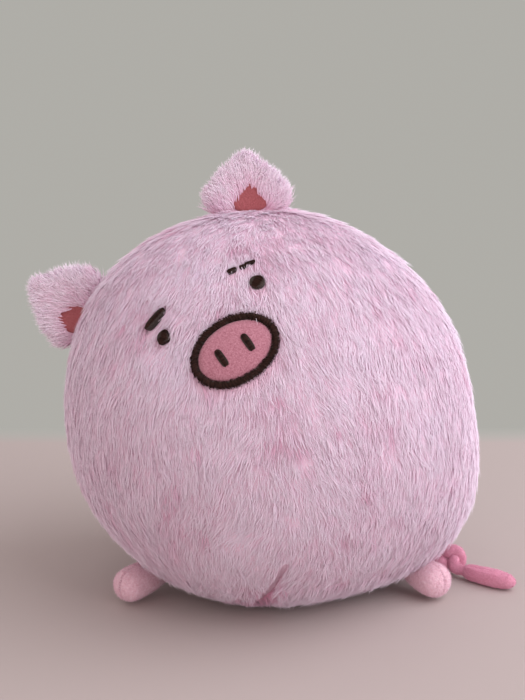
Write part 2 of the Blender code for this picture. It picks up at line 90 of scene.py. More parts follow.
# Pile
UNDERCOAT_SINK = 0.0004
UNDERCOAT_DIP = 0.0014
DIP_MARGIN = 0.0050
CLOTH_WAVE = 0.0200
CLOTH_WAVE_HEIGHT = 0.0002
ROOT_SINK = 0.0010
PILE_LIFT = 0.0012
LOWEST_ROOT = 0.0030
LOWEST_TIP = 0.0005
TUFTS = 16500
STRANDS_IN_TUFT = 8
TUFT_RADIUS = 0.0023
TUFT_JITTER_SHARE = 0.006
STRAND_LENGTH = 0.0115
STRAND_WIDTH = 0.00048
STRAND_LEVELS = (0.0, 0.55, 1.0)
STRAND_FLATNESS = 0.3
STRAND_WAVE_SHARE = 0.08
# The lean of a strand off the cloth's normal at its root and its tip, and how much less
# that is where the pile rises
PILE_LEANS = (80, 88)
PILE_RISE_ANGLES = (24, 14)
FUZZ = 210000
FUZZ_LENGTH = 0.0078
FUZZ_WIDTH = 0.00042
FUZZ_LEANS = (76, 86)
FINE_LEVELS = 9
TUFT_CLOSING_SHARE = 0.25
FRINGE_LEVEL = 0.0300
FRINGE_SHARE = 0.45
LENGTH_PATCH = 0.0300
TONE_PATCHES = (0.0450, 0.0120)
COMBING_PATCHES = (0.0500, 0.0160)
FACES_IN_PIECE = 180000
TINTS = 16

# How the pile is combed: azimuth and elevation of a place, and there the angle of the
# pile off straight down towards +X
COMBING = (
    (8, 42, 26),
    (35, 60, 40),
    (60, 35, 34),
    (40, 10, 26),
    (75, 0, 20),
    (20, -12, 20),
    (55, -40, 10),
    (-12, -20, -22),
    (-18, 8, -4),
    (0, -60, 0),
    (-38, 42, -30),
    (-60, 60, -20),
    (-52, 20, -24),
    (-75, 5, -8),
    (-45, -15, -2),
    (-60, -40, 0),
    (180, 0, 0),
    (120, 10, 8),
    (-120, 10, -6),
)
COMBING_SPREAD = 18

# Face: its middle is the snout's, and its top leans towards -X
FACE_AZIMUTH = -11.4
FACE_ELEVATION = 30.8
FACE_ROLL = 35.5
SNOUT_WIDTH = 0.0470
SNOUT_HEIGHT = 0.0344
SNOUT_BORDER_WIDTH = 0.0039
SNOUT_CLOTH_BOTTOM = -0.0030
SNOUT_CLOTH_TOP = 0.0001
SNOUT_CLOTH_CROWN = 0.0007
SNOUT_CLOTH_TUCK = 0.0006
NOSTRIL_WIDTH = 0.0040
NOSTRIL_HEIGHT = 0.0095
NOSTRIL_SPACING = 0.0146
NOSTRIL_DROP = 0.0005
NOSTRIL_LEAN = 4
EYE_DIAMETER = 0.0081
LEFT_EYE_TAPER_SHARE = 0.75
EYE_SPACING = 0.0554
EYE_RISE = 0.0270
BROW_LENGTH = 0.0147
LEFT_BROW_THICKNESS = 0.0049
BROW_SPACING = 0.0554
BROW_RISE = 0.0402
BROW_SLOPE = 11
THREAD_WIDTH = 0.00050
THREAD_DIP = 0.0007
THREAD_FLATNESS = 0.9
THREAD_JITTER = 0.00016
THREAD_HEIGHT_JITTER = 0.00006
MARK_BOTTOM = -0.0016
THREAD_COVER = 0.0002
PAD_FULLNESS_SHARE = 0.8
SNOUT_POWER = 2.0
NOSTRIL_POWER = 4.0
EYE_POWER = 2.0
BROW_POWER = 3.0
MARK_HEIGHT = 0.0008
MARK_HEIGHTS = {"eye_left": 0.0012, "eye_right": 0.0010, "brow_left": 0.0015}
NOSTRIL_HEIGHT_OVER_PILE = 0.0013
BORDER_THREADS = 290
BORDER_HEIGHT = 0.0012
BORDER_OVERLAP = 0.0001
BORDER_SLANT = 0.0005
BORDER_RAGGEDNESS = 0.00036
BORDER_BASE_MARGIN = 0.0003
BORDER_BASE_MIDDLE = -0.0009
BORDER_BASE_HALF_HEIGHT = 0.0018
# The share of the strands above a mark that fall over it
FUR_OVER_MARK = 0.04
FUR_OVER_MARKS = {"brow_left": 0.01, "eye_left": 0.02, "snout": 0.01}
MARGIN_ROUND_MARK = 0.0002
MARGINS_ROUND_MARKS = {"brow_left": 0.0011, "eye_left": 0.0007, "eye_right": 0.0004}
MARGIN_JITTER = 0.0003
# The pile hides parts of the right brow. What shows is three dashes: the place of each
# along and across the brow, its half length and its half thickness
RIGHT_BROW_CENTRE = (0.0261, 0.0414)
RIGHT_BROW_LEAN = -1
RIGHT_BROW_DASHES = (
    (-0.0060, -0.0002, 0.0026, 0.0012),
    (0.0003, -0.0004, 0.0019, 0.0008),
    (0.0050, 0.0002, 0.0031, 0.0009),
)

# Dart: the crease over the sole, and the painted shade that deepens the pile's pink along it
DART_AZIMUTH = 0
DART_ELEVATION = -47
DART_LENGTH = 0.0460
DART_WIDTH = 0.0030
DART_DEPTH = 0.0026
DART_LEAN = 18
DART_SURROUND = 0.0100
DART_PAINTED_SHADE_WIDTH = 0.0050

# Ears
EAR_ANGLES = {"left": -62.0, "right": -3.9}
EAR_WIDTH = 0.0670
EAR_THICKNESS = 0.0100
EAR_FOLD_FORWARD = 30
EAR_FULLNESS_SHARE = 0.5
EAR_CORE_WIDTH = 0.0530
EAR_CORE_HEIGHTS = {"left": 0.0240, "right": 0.0205}
EAR_CORE_ROOT = -0.0090
EAR_CORE_THICKNESS = 0.0052
EAR_CORE_NARROWING_SHARE = 0.82
EAR_CORE_POWER = 2.2
EAR_CUP = 0.0030
EAR_SHIFTS = {"left": -0.0020, "right": -0.0045}
OPENING_SHIFTS = {"left": -0.0050, "right": 0.0012}
EAR_STRANDS = 16000
EAR_STRAND_LENGTH = 0.0100
EAR_STRAND_WIDTH = 0.00055
EAR_STRAND_LEVELS = (0.0, 0.3, 0.65, 1.0)
EAR_LEANS = (66, 87)
EAR_RISE_ANGLES = (12, 8)
EAR_CLUMPS = (0.0070, 0.0080)
LINING_WIDTH = 0.0190
LINING_HEIGHT = 0.0125
LINING_LEVEL = -0.0015
LINING_MARGIN = 0.0024
LINING_THICKNESS = 0.0020
LINING_RISE = 0.0010
LINING_DISH = 0.0005
LINING_NARROWING_SHARE = 0.75
LINING_POWER = 2.6
OPENING_WIDTH = 0.0165
OPENING_HEIGHT = 0.0100
EAR_ROOT_MARGIN = 0.0020
EAR_SURROUND = 0.0140
EAR_SURROUND_BELOW = 0.0200

# Feet
FOOT_ROOT_AZIMUTHS = {"left": -78.0, "right": 81.0}
FOOT_TOE_AZIMUTHS = {"left": -40.0, "right": 38.0}
FOOT_ROOT_DIAMETER = 0.0150
FOOT_TOE_DIAMETER = 0.0204
FOOT_REACHES = {"left": 0.0190, "right": 0.0120}
FOOT_ROOT_LEVEL = 0.0115
FOOT_LIFT = 0.0004
FOOT_SEAT = 0.0050
FOOT_SEAM_DEPTH = 0.0007
FOOT_SEAM_SHARE = 0.055
FOOT_PUCKER_HEIGHT = 0.0004
FOOT_PUCKER_SHARE = 0.16
FOOT_PUCKERS = 26
FOOT_NAP = 12000
FOOT_NAP_LENGTH = 0.0015
FOOT_NAP_SINK = 0.0002
STITCH_WIDTH = 0.00042
STITCH_ANGLES = (-28, 100, 7.5)
STITCH_HEIGHTS = (-0.0003, 0.0001, 0.0002, 0.0001, -0.0003)
NAP_WIDTH = 0.00026
NAP_FLATNESS = 0.4
LOWEST_NAP = 0.0001

# Tail
TAIL_DIAMETER = 0.0090
TAIL_SEAT = 0.0012
TAIL_STEP = 0.0012
TUBE_SIDES = 28
TAIL_WAVE = 0.0200
TAIL_NAP_LENGTH = 0.0009
TAIL_NAP_SPREAD = 0.0005
TAIL_NAPS = {"tube": 14000, "knot": 9000, "end": 7000}
TAIL_ROOT_AZIMUTH = 160
TAIL_ROOT_LEVEL_SHARE = 0.385
# Azimuth round the body, level as a share of the middle's height, and distance out of the
# pile as a share of the tail's diameter
TAIL_ROUTE_SHARES = (
    (158, 0.345, 1.30),
    (149, 0.230, 1.70),
    (135, 0.125, 1.50),
    (121, 0.090, 1.05),
    (110, 0.085, 0.90),
)
NECK_AZIMUTH = 101
NECK_LEVEL_SHARE = 0.080
NECK_DISTANCE_SHARE = 0.95
NECK_DIAMETER = 0.0054
NECK_START_SHARE = 0.6
KNOT_STRAND = 0.0034
KNOT_BAND_WIDTH = 0.0074
KNOT_BAND_THICKNESS = 0.0046
KNOT_RING_SHARE = 1.35
KNOT_SWING_SHARE = 0.62
KNOT_LIFT_SHARE = 0.66
KNOT_LEG_SHARE = 1.35
KNOT_LEG_SPREAD_SHARE = 1.75
KNOT_REACH_SHARE = 3.40
KNOT_LEVEL_SHARE = 2.20
KNOT_AZIMUTH = 62
KNOT_LEAN = 35
KNOT_TURN_POINTS = 34
KNOT_STEP = 0.0005
KNOT_NAP_SPREAD = 0.0003
KNOT_TUCK = 0.0030
TAIL_END_LENGTH = 0.0330
TAIL_END_WIDTH = 0.0108
TAIL_END_THICKNESS = 0.0088
TAIL_END_AZIMUTH = 56
TAIL_END_NARROWING_SHARE = 0.25
TAIL_END_FULLNESS_SHARE = 0.35
TAIL_END_POWER = 2.5
TAIL_END_FOLD_PLACE = -0.15
TAIL_END_FOLD_SHARE = 0.16
TAIL_END_SEAM_SETBACK = 0.0048
TAIL_END_SEAM_WIDTH = 0.0005

# Lights and ground
FLOOR_SIZE = 60
TABLE_EDGE = 0.274
TABLE_EDGE_SOFTNESS = 0.020
TABLE_COLOUR = (0.47, 0.38, 0.365)
WALL_COLOUR = (0.43, 0.42, 0.39)
KEY_PLACE = (1.42, -0.42, 1.12)
KEY_SIZE = 2.4
KEY_POWER = 44
KEY_COLOUR = (0.88, 0.95, 1.0)
FILL_PLACE = (-1.0, -1.5, 0.35)
FILL_SIZE = 1.4
FILL_POWER = 6
FILL_COLOUR = (1.0, 0.92, 0.86)
SURROUND_COLOUR = (1.0, 0.97, 0.96)
SURROUND_STRENGTH = 0.74


def towards(azimuth, elevation=0.0):
    """The direction at an azimuth from the front towards +X, and an elevation, in degrees."""
    turn = np.radians(azimuth)
    rise = np.radians(elevation)
    return np.stack((np.cos(rise) * np.sin(turn), -np.cos(rise) * np.cos(turn), np.sin(rise)), -1)


def unit(vectors):
    return vectors / np.maximum(np.linalg.norm(vectors, axis=-1, keepdims=True), 1e-12)


def dot(a, b):
    return np.sum(a * b, axis=-1, keepdims=True)


def bell(x, width):
    """1 at 0, and next to nothing beyond two widths."""
    return np.exp(-(x / width) ** 2)


def nearness(directions, azimuth, elevation, spread):
    """1 in a direction, falling off over a spread in degrees."""
    away = 1 - directions @ towards(azimuth, elevation)
    return np.exp(-away / (1 - math.cos(math.radians(spread))))


def flatten(vectors, normals):
    """The part of each vector that lies in the surface, as a unit vector."""
    return unit(vectors - normals * dot(vectors, normals))


def pile_radius(directions):
    """How far the tips of the pile are from the body's centre in unit directions."""
    sides = np.array((BODY_WIDTH, BODY_DEPTH, BODY_HEIGHT)) / 2
    radius = 1 / np.sqrt(np.sum((directions / sides) ** 2, axis=-1))
    swell = np.ones_like(radius)
    for azimuth, elevation, spread, share in SWELL_SHARES:
        swell += share * nearness(directions, azimuth, elevation, spread)
    return radius * swell


def body_point(directions, height=0.0):
    """The points at a height over the tips of the pile, in unit directions."""
    radius = pile_radius(directions) + height
    return CENTRE + directions * radius[..., None]


def settled(points, lift):
    """Presses the underside of the body flat against the table, with a soft edge."""
    pressed = points.copy()
    depth = (points[..., 2] + SOLE_CUT - lift) / SOLE_SOFTNESS
    soft = SOLE_SOFTNESS * np.log1p(np.exp(np.minimum(depth, 30))) - SOLE_CUT + lift
    pressed[..., 2] = np.where(depth < 20, soft, points[..., 2])
    return pressed


def surface(place, directions):
    """A form's points in unit directions, with its outward normals and area there."""
    helper = np.where(np.abs(directions[:, 2:]) < 0.9, UP, np.array((1.0, 0.0, 0.0)))
    across = unit(np.cross(helper, directions))
    along = np.cross(directions, across)
    step = 2e-3
    points = place(directions)
    first = place(unit(directions + step * across)) - points
    second = place(unit(directions + step * along)) - points
    facing = np.cross(first, second)
    return points, unit(facing), np.linalg.norm(facing, axis=1)


def spread_over(place, count, draw):
    """Points spread evenly over a form, with the normals there."""
    points, normals, areas = surface(place, spread_directions(count * 6))
    picked = draw.choice(len(points), size=count, replace=False, p=areas / areas.sum())
    return points[picked], normals[picked]


def rounded(directions, fullness, corner_power):
    """Unit directions whose section is drawn towards a drum's, and their outline towards
    a rectangle's."""
    x, y, z = directions.T
    flat = np.maximum(np.hypot(x, y), 1e-6)
    grow_by = np.maximum(flat, np.abs(z)) ** -fullness
    corner = (np.abs(x) / flat) ** corner_power + (np.abs(y) / flat) ** corner_power
    widen = grow_by * np.maximum(corner, 0.1) ** (-1 / corner_power)
    return x * widen, y * widen, z * grow_by


def spread_directions(count):
    """Evenly spread unit directions."""
    k = np.arange(count) + 0.5
    height = 1 - 2 * k / count
    turn = k * math.pi * (3 - math.sqrt(5))
    flat = np.sqrt(1 - height ** 2)
    return np.stack((flat * np.cos(turn), flat * np.sin(turn), height), -1)


def ripple(points, size, seed):
    """A smooth field between about -1 and 1 that changes over the given size."""
    draw = np.random.default_rng(seed)
    total = np.zeros(len(points))
    for _ in range(RIPPLE_WAVES):
        heading = unit(draw.normal(size=3)) * (2 * math.pi / size) * draw.uniform(0.6, 1.4)
        total += np.sin(points @ heading + draw.uniform(0, 2 * math.pi))
    return total / math.sqrt(RIPPLE_WAVES) / 1.2


def face_frame():
    """The face's outward direction, and its own right and up."""
    out = towards(FACE_AZIMUTH, FACE_ELEVATION)
    up = unit(UP - out * (UP @ out))
    right = np.cross(up, out)
    roll = math.radians(FACE_ROLL)
    face_right = right * math.cos(roll) + up * math.sin(roll)
    face_up = up * math.cos(roll) - right * math.sin(roll)
    return out, face_right, face_up


FACE_OUT, FACE_RIGHT, FACE_UP = face_frame()
FACE_RADIUS = float(pile_radius(FACE_OUT[None])[0])


def on_face(x, y, height):
    """The points over the pile at x to the face's right and y up it, from the snout."""
    away = FACE_OUT * FACE_RADIUS + np.multiply.outer(x, FACE_RIGHT) + np.multiply.outer(y, FACE_UP)
    directions = unit(away)
    return CENTRE + directions * (pile_radius(directions) + height)[..., None]


def face_place(points):
    """Where points near the body are on the face: x to its right and y up it."""
    away = points - CENTRE
    scale = FACE_RADIUS / (away @ FACE_OUT)
    front = away @ FACE_OUT > FACE_RADIUS / 3
    x = np.where(front, (away @ FACE_RIGHT) * scale, REACH)
    y = np.where(front, (away @ FACE_UP) * scale, REACH)
    return x, y


def beside_body(azimuth, level, height):
    """The point at a level over the table that is a height outside the pile."""
    low = 0.0
    high = 2 * REACH
    heading = towards(azimuth)
    for _ in range(40):
        middle = (low + high) / 2
        away = heading * middle + UP * level - CENTRE
        distance = np.linalg.norm(away)
        if distance - pile_radius((away / distance)[None])[0] < height:
            low = middle
        else:
            high = middle
    return heading * low + UP * level


# Materials


def new_material(name, roughness, sheen, specular):
    """A cloth-like material. Returns it with its nodes, links and shader."""
    material = bpy.data.materials.new(name)
    material.use_nodes = True
    nodes = material.node_tree.nodes
    shader = nodes["Principled BSDF"]
    shader.inputs["Roughness"].default_value = roughness
    shader.inputs["Sheen Weight"].default_value = sheen
    shader.inputs["Sheen Roughness"].default_value = 0.5
    shader.inputs["Specular IOR Level"].default_value = specular
    return material, nodes, material.node_tree.links, shader


def ramp(nodes, stops):
    """A colour ramp through (place, colour) stops."""
    node = nodes.new("ShaderNodeValToRGB")
    elements = node.color_ramp.elements
    while len(elements) < len(stops):
        elements.new(0.5)
    for element, (place, colour) in zip(elements, stops):
        element.position = place
        element.color = (*colour, 1)
    return node


def strand_material(name, stops, tint_stops, roughness=1.0, sheen=0.0):
    """Colour from root to tip along v, times a tint across u."""
    material, nodes, links, shader = new_material(name, roughness, sheen, 0.1)
    where = nodes.new("ShaderNodeUVMap")
    where.uv_map = "strand"
    split = nodes.new("ShaderNodeSeparateXYZ")
    links.new(where.outputs["UV"], split.inputs[0])
    length_ramp = ramp(nodes, stops)
    links.new(split.outputs["Y"], length_ramp.inputs["Fac"])
    tint_ramp = ramp(nodes, tint_stops)
    links.new(split.outputs["X"], tint_ramp.inputs["Fac"])
    mix = nodes.new("ShaderNodeMix")
    mix.data_type = "RGBA"
    mix.blend_type = "MULTIPLY"
    mix.inputs["Factor"].default_value = 1
    links.new(length_ramp.outputs["Color"], mix.inputs["A"])
    links.new(tint_ramp.outputs["Color"], mix.inputs["B"])
    links.new(mix.outputs["Result"], shader.inputs["Base Color"])
    return material


def cloth_material(name, dark, light, grain, depth):
    """Short-napped cloth: fine colour grain with a bump of the same size."""
    material, nodes, links, shader = new_material(name, 0.9, 0.3, 0.2)
    where = nodes.new("ShaderNodeTexCoord")
    fine = nodes.new("ShaderNodeTexNoise")
    fine.inputs["Scale"].default_value = 1 / grain
    fine.inputs["Detail"].default_value = 4
    fine.inputs["Roughness"].default_value = 0.7
    links.new(where.outputs["Object"], fine.inputs["Vector"])
    colours = ramp(nodes, ((0.32, dark), (0.68, light)))
    links.new(fine.outputs["Fac"], colours.inputs["Fac"])
    links.new(colours.outputs["Color"], shader.inputs["Base Color"])
    bump = nodes.new("ShaderNodeBump")
    bump.inputs["Distance"].default_value = depth
    links.new(fine.outputs["Fac"], bump.inputs["Height"])
    links.new(bump.outputs["Normal"], shader.inputs["Normal"])
    return material


# Deep pink at the roots to pale at the tips: the deep pink is partly the pile's own colour and partly
# painted shade where the roots lie deep in the pile
FUR = strand_material(
    "long_pile",
    ((0.0, (0.80, 0.49, 0.62)), (0.5, (0.82, 0.62, 0.74)), (1.0, (0.84, 0.73, 0.82))),
    (
        (0.0, (0.86, 0.58, 0.68)),
        (0.3, (0.96, 0.91, 0.94)),
        (0.5, (1.0, 1.0, 1.0)),
        (1.0, (1.02, 1.05, 1.06)),
    ),
)
# Deep pink at the roots to pale at the tips: the deep pink is partly the pile's own colour and partly
# painted shade where the roots lie deep in the pile
EAR_FUR = strand_material(
    "ear_pile",
    ((0.0, (0.88, 0.54, 0.67)), (0.5, (0.92, 0.71, 0.83)), (1.0, (0.95, 0.85, 0.93))),
    ((0.0, (0.94, 0.80, 0.86)), (0.5, (1.0, 1.0, 1.0)), (1.0, (1.02, 1.06, 1.08))),
)
UNDERCOAT = cloth_material("undercoat", (0.82, 0.52, 0.66), (0.90, 0.63, 0.77), 0.0012, 0.0003)
SNOUT_CLOTH = cloth_material("snout_cloth", (0.37, 0.115, 0.16), (0.60, 0.26, 0.325), 0.0008, 0.0004)
LINING = cloth_material("ear_lining", (0.34, 0.08, 0.09), (0.46, 0.13, 0.14), 0.0008, 0.0003)
FLEECE = cloth_material("fleece", (0.78, 0.42, 0.50), (0.96, 0.70, 0.78), 0.0012, 0.0006)
TAIL_FLEECE = cloth_material("tail_fleece", (0.68, 0.26, 0.37), (0.80, 0.36, 0.48), 0.0007, 0.0003)
THREAD_BASE = cloth_material("thread_base", (0.020, 0.011, 0.009), (0.05, 0.028, 0.022), 0.0006, 0.0003)
THREAD = strand_material(
    "thread",
    ((0.0, (0.026, 0.012, 0.010)), (0.5, (0.044, 0.021, 0.017)), (1.0, (0.026, 0.012, 0.010))),
    ((0.0, (0.6, 0.6, 0.6)), (1.0, (1.5, 1.4, 1.4))),
    0.8,
)
FUZZ_TINTS = ((0.0, (0.90, 0.85, 0.88)), (1.0, (1.08, 1.10, 1.12)))
FOOT_FUZZ = strand_material(
    "foot_fuzz", ((0.0, (0.84, 0.50, 0.58)), (1.0, (0.94, 0.72, 0.80))), FUZZ_TINTS
)
TAIL_FUZZ = strand_material(
    "tail_fuzz", ((0.0, (0.78, 0.32, 0.45)), (1.0, (0.88, 0.50, 0.62))), FUZZ_TINTS
)
STITCH = strand_material(
    "stitch", ((0.0, (0.60, 0.30, 0.38)), (1.0, (0.76, 0.52, 0.60))), FUZZ_TINTS, 0.6, 0.1
)


# Meshes


def add_object(name, data):
    """Links an object into the scene."""
    made = bpy.data.objects.new(name, data)
    bpy.context.scene.collection.objects.link(made)
    return made


def add_piece(name, mesh, material, body, cads=()):
    """Links a mesh as a piece that rides on a body and takes the given material. It
    replaces the given CAD nodes."""
    mesh.materials.append(material)
    piece = add_object(name, mesh)
    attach(piece, body)
    if cads:
        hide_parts(*cads)


def closed_mesh(name, points, faces):
    """A smooth closed mesh of points and faces, whose normals face out."""
    mesh = bpy.data.meshes.new(name)
    mesh.from_pydata(points.tolist(), [], faces)
    form = bmesh.new()
    form.from_mesh(mesh)
    bmesh.ops.recalc_face_normals(form, faces=form.faces)
    form.to_mesh(mesh)
    form.free()
    mesh.shade_smooth()
    return mesh


def form_mesh(name, place, segments, rings, cut=None):
    """A closed smooth mesh whose points are place(unit directions). A cut is a point and
    a normal, and what lies beyond it is removed and closed."""
    form = bmesh.new()
    bmesh.ops.create_uvsphere(form, u_segments=segments, v_segments=rings, radius=1)
    directions = unit(np.array([vertex.co for vertex in form.verts]))
    for vertex, point in zip(form.verts, place(directions)):
        vertex.co = point
    if cut is not None:
        everything = form.verts[:] + form.edges[:] + form.faces[:]
        bmesh.ops.bisect_plane(
            form, geom=everything, plane_co=cut[0], plane_no=cut[1], clear_outer=True
        )
        rim = [edge for edge in form.edges if edge.is_boundary]
        bmesh.ops.contextual_create(form, geom=rim)
    mesh = bpy.data.meshes.new(name)
    form.to_mesh(mesh)
    form.free()
    mesh.shade_smooth()
    mesh.set_sharp_from_angle(angle=math.radians(60))
    return mesh


def strand_mesh(name, paths, outs, widths, tints, flatness):
    """One closed tapering strand along each path, three-sided and flattened.

    paths: strands x levels x 3. outs: the direction away from the cloth at each strand."""
    count, levels, _ = paths.shape
    along = np.gradient(paths, axis=1)
    side = unit(np.cross(along, outs[:, None, :]))
    rise = unit(np.cross(side, along))
    rings = []
    for degrees in (90, 210, 330):
        across = math.cos(math.radians(degrees))
        upward = math.sin(math.radians(degrees))
        offset = side * across + rise * (upward * flatness)
        rings.append(paths[:, :-1] + offset[:, :-1] * widths[:, None, None] / 2)
    body = np.stack(rings, 2).reshape(count, (levels - 1) * 3, 3)
    points = np.concatenate((body, paths[:, -1:]), 1)

    faces = [(0, 1, 2)]
    for k in range(levels - 2):
        for j in range(3):
            a = 3 * k + j
            b = 3 * k + (j + 1) % 3
            faces.append((a, a + 3, b))
            faces.append((b, a + 3, b + 3))
    last = 3 * (levels - 2)
    tip = 3 * (levels - 1)
    for j in range(3):
        faces.append((last + j, tip, last + (j + 1) % 3))
    faces = np.array(faces)
    size = tip + 1
    corners = (np.arange(count)[:, None, None] * size + faces).reshape(-1)
    total = count * len(faces)

    mesh = bpy.data.meshes.new(name)
    mesh.vertices.add(count * size)
    mesh.vertices.foreach_set("co", points.astype(np.float32).ravel())
    mesh.loops.add(total * 3)
    mesh.loops.foreach_set("vertex_index", corners.astype(np.int32))
    mesh.polygons.add(total)
    mesh.polygons.foreach_set("loop_start", np.arange(0, total * 3, 3, dtype=np.int32))
    mesh.update(calc_edges=True)
    mesh.shade_flat()

    level_shares = np.repeat(np.linspace(0, 1, levels)[:-1], 3)
    v = np.append(level_shares, 1.0) * 0.96 + 0.02
    u = (tints + 0.5) / TINTS
    uv = np.stack((np.repeat(u, size), np.tile(v, count)), -1)[corners].astype(np.float32)
    for title in ("strand", "OFBake"):
        layer = mesh.uv_layers.new(name=title)
        layer.data.foreach_set("uv", uv.ravel())
    return mesh


def add_strands(stem, material, body, paths, outs, widths, tints, flatness):
    """Strands as pieces that each stay within the number of faces for one."""
    faces = 4 + 6 * (paths.shape[1] - 2)
    step = FACES_IN_PIECE // faces
    for number, start in enumerate(range(0, len(paths), step), 1):
        some = slice(start, start + step)
        name = stem if len(paths) <= step else "%s_%d" % (stem, number)
        mesh = strand_mesh(name, paths[some], outs[some], widths[some], tints[some], flatness)
        add_piece(name, mesh, material, body)


def tint_of(tone):
    """The column of the tint ramp for a tone from 0 to 1."""
    return np.clip(tone * TINTS, 0, TINTS - 1).astype(int)


def bend(length, start_lean, end_lean, levels):
    """How far a strand rises and travels at each level, leaning over from start to end."""
    lean = start_lean[:, None] + (end_lean - start_lean)[:, None] * levels
    span = (end_lean - start_lean)[:, None]
    rise = (np.sin(lean) - np.sin(start_lean)[:, None]) / span
    travel = (np.cos(start_lean)[:, None] - np.cos(lean)) / span
    return rise * length[:, None], travel * length[:, None]


def grow(roots, normals, flows, length, leans, tuft=None, wave=None):
    """Finely divided paths of strands that bend over from their roots. A tuft is the
    roots and flows of the strands' tufts and the share by which they close on them."""
    levels = np.linspace(0, 1, FINE_LEVELS)
    rise, travel = bend(length, *leans, levels)
    lifts = normals[:, None] * rise[..., None]
    own = roots[:, None] + lifts + flows[:, None] * travel[..., None]
    if wave is not None:
        side = np.cross(normals, flows)
        own += side[:, None] * (wave[:, None] * np.sin(levels * math.pi))[..., None]
    if tuft is None:
        return own
    tuft_roots, tuft_flows, closing = tuft
    shared = tuft_roots[:, None] + lifts + tuft_flows[:, None] * travel[..., None]
    pull = closing[:, None] * levels ** 1.3
    return own + (shared - own) * pull[..., None]


def shortened(paths, shares, levels):
    """The paths cut at a share of their length each, and divided at the given levels."""
    last = paths.shape[1] - 1
    places = np.outer(shares, levels) * last
    low = np.minimum(places.astype(int), last - 1)
    part = (places - low)[..., None]
    row = np.arange(len(paths))[:, None]
    return paths[row, low] * (1 - part) + paths[row, low + 1] * part


def combed(points, normals):
    """The direction that the pile lies in at points on the body."""
    directions = unit(points - CENTRE)
    total = 0
    angle = 0
    for azimuth, elevation, degrees in COMBING:
        weight = nearness(directions, azimuth, elevation, COMBING_SPREAD) + 1e-9
        total += weight
        angle += weight * math.radians(degrees)
    angle = angle / total
    wide, narrow = COMBING_PATCHES
    angle += 0.20 * ripple(points, wide, 11) + 0.16 * ripple(points, narrow, 12)
    lean = 0.35 + 1.1 * np.clip(normals[:, 2], 0, 1) ** 2
    off_seam = np.clip((points[:, 1] - SEAM_SETBACK) / SEAM_REACH, -1, 1)
    heading = np.stack((np.sin(angle), lean * off_seam, -np.cos(angle)), -1)
    return flatten(heading, normals)


def turned(x, y, degrees):
    """Places in a plane, turned from x towards y."""
    turn = math.radians(degrees)
    return x * math.cos(turn) - y * math.sin(turn), x * math.sin(turn) + y * math.cos(turn)


def mark_distance(x, y, mark, margin):
    """How far points on the face are from a mark's middle, where its rim is 1."""
    centre, half_size, lean, taper = mark
    dx, dy = turned(x - centre[0], y - centre[1], -lean)
    below = np.clip(-dy / half_size[1], 0, 1.1)
    wide = (half_size[0] + margin) * (1 - taper * below)
    return np.hypot(dx / np.maximum(wide, 1e-4), dy / (half_size[1] + margin))


def near_marks(points):
    """A share from 0 to 1 that is full on the marks on the face and close round them."""
    x, y = face_place(points)
    near = np.zeros(len(points))
    for mark in stitched_marks().values():
        away = mark_distance(x, y, mark, DIP_MARGIN)
        near = np.maximum(near, np.clip((1.3 - away) / 0.35, 0, 1))
    return near * near * (3 - 2 * near)


def share_clear(paths, draw):
    """The share of each path, from its root, that lies clear of the marks on the face."""
    x, y = face_place(paths.reshape(-1, 3))
    levels = paths.shape[1]
    shares = np.ones(len(paths))
    for name, mark in stitched_marks().items():
        mean = MARGINS_ROUND_MARKS.get(name, MARGIN_ROUND_MARK)
        margin = np.repeat(draw.normal(size=len(paths)) * MARGIN_JITTER + mean, levels)
        inside = (mark_distance(x, y, mark, margin) < 1).reshape(-1, levels)
        kept = draw.uniform(size=len(paths)) < FUR_OVER_MARKS.get(name, FUR_OVER_MARK)
        kept &= ~inside[:, 0] & ~inside[:, 1]
        shares = np.minimum(shares, np.where(kept, 1, share_before(inside)))
    return shares


def share_before(inside):
    """The share of each path, from its root, before the first of its points inside."""
    levels = inside.shape[1]
    first = np.where(inside.any(1), inside.argmax(1), levels)
    return np.clip((first - 0.5) / (levels - 1), 0, 1)


def stitched_marks():
    """Each embroidered mark on the face: its centre, half size, lean and taper."""
    marks = {"snout": ((0, 0), (SNOUT_WIDTH / 2, SNOUT_HEIGHT / 2), 0, 0)}
    half_eye = (EYE_DIAMETER / 2, EYE_DIAMETER / 2)
    for side, sign, taper in (("left", -1, LEFT_EYE_TAPER_SHARE), ("right", 1, 0)):
        centre = (sign * EYE_SPACING / 2, EYE_RISE)
        marks["eye_" + side] = (centre, half_eye, FACE_ROLL, taper)
    half_brow = (BROW_LENGTH / 2, LEFT_BROW_THICKNESS / 2)
    marks["brow_left"] = ((-BROW_SPACING / 2, BROW_RISE), half_brow, BROW_SLOPE, 0)
    for number, (along, across, half_long, half_thick) in enumerate(RIGHT_BROW_DASHES):
        x, y = turned(along, across, RIGHT_BROW_LEAN)
        centre = (RIGHT_BROW_CENTRE[0] + x, RIGHT_BROW_CENTRE[1] + y)
        dash = (centre, (half_long, half_thick), RIGHT_BROW_LEAN, 0)
        marks["brow_right_%d" % number] = dash
    return marks


def ear_place(side):
    """The ear's hinge frame as an origin and three axes: along, out and forward."""
    angle = math.radians(EAR_ANGLES[side])
    out = np.array((math.sin(angle), 0, math.cos(angle)))
    along = np.array((math.cos(angle), 0, -math.sin(angle)))
    seat_direction = unit(out * REACH / 2 + np.array((0, SEAM_SETBACK, 0)))
    seat = body_point(seat_direction[None])[0]
    lift = EAR_THICKNESS / 2 * math.sin(math.radians(EAR_FOLD_FORWARD))
    return seat + out * lift, along, out, np.cross(along, out)


def seen_from_ear(points, side):
    """Where points are in an ear's hinge frame: along, out and forward."""
    origin, along, out, forward = ear_place(side)
    away = points - origin
    return away @ along, away @ out, away @ forward


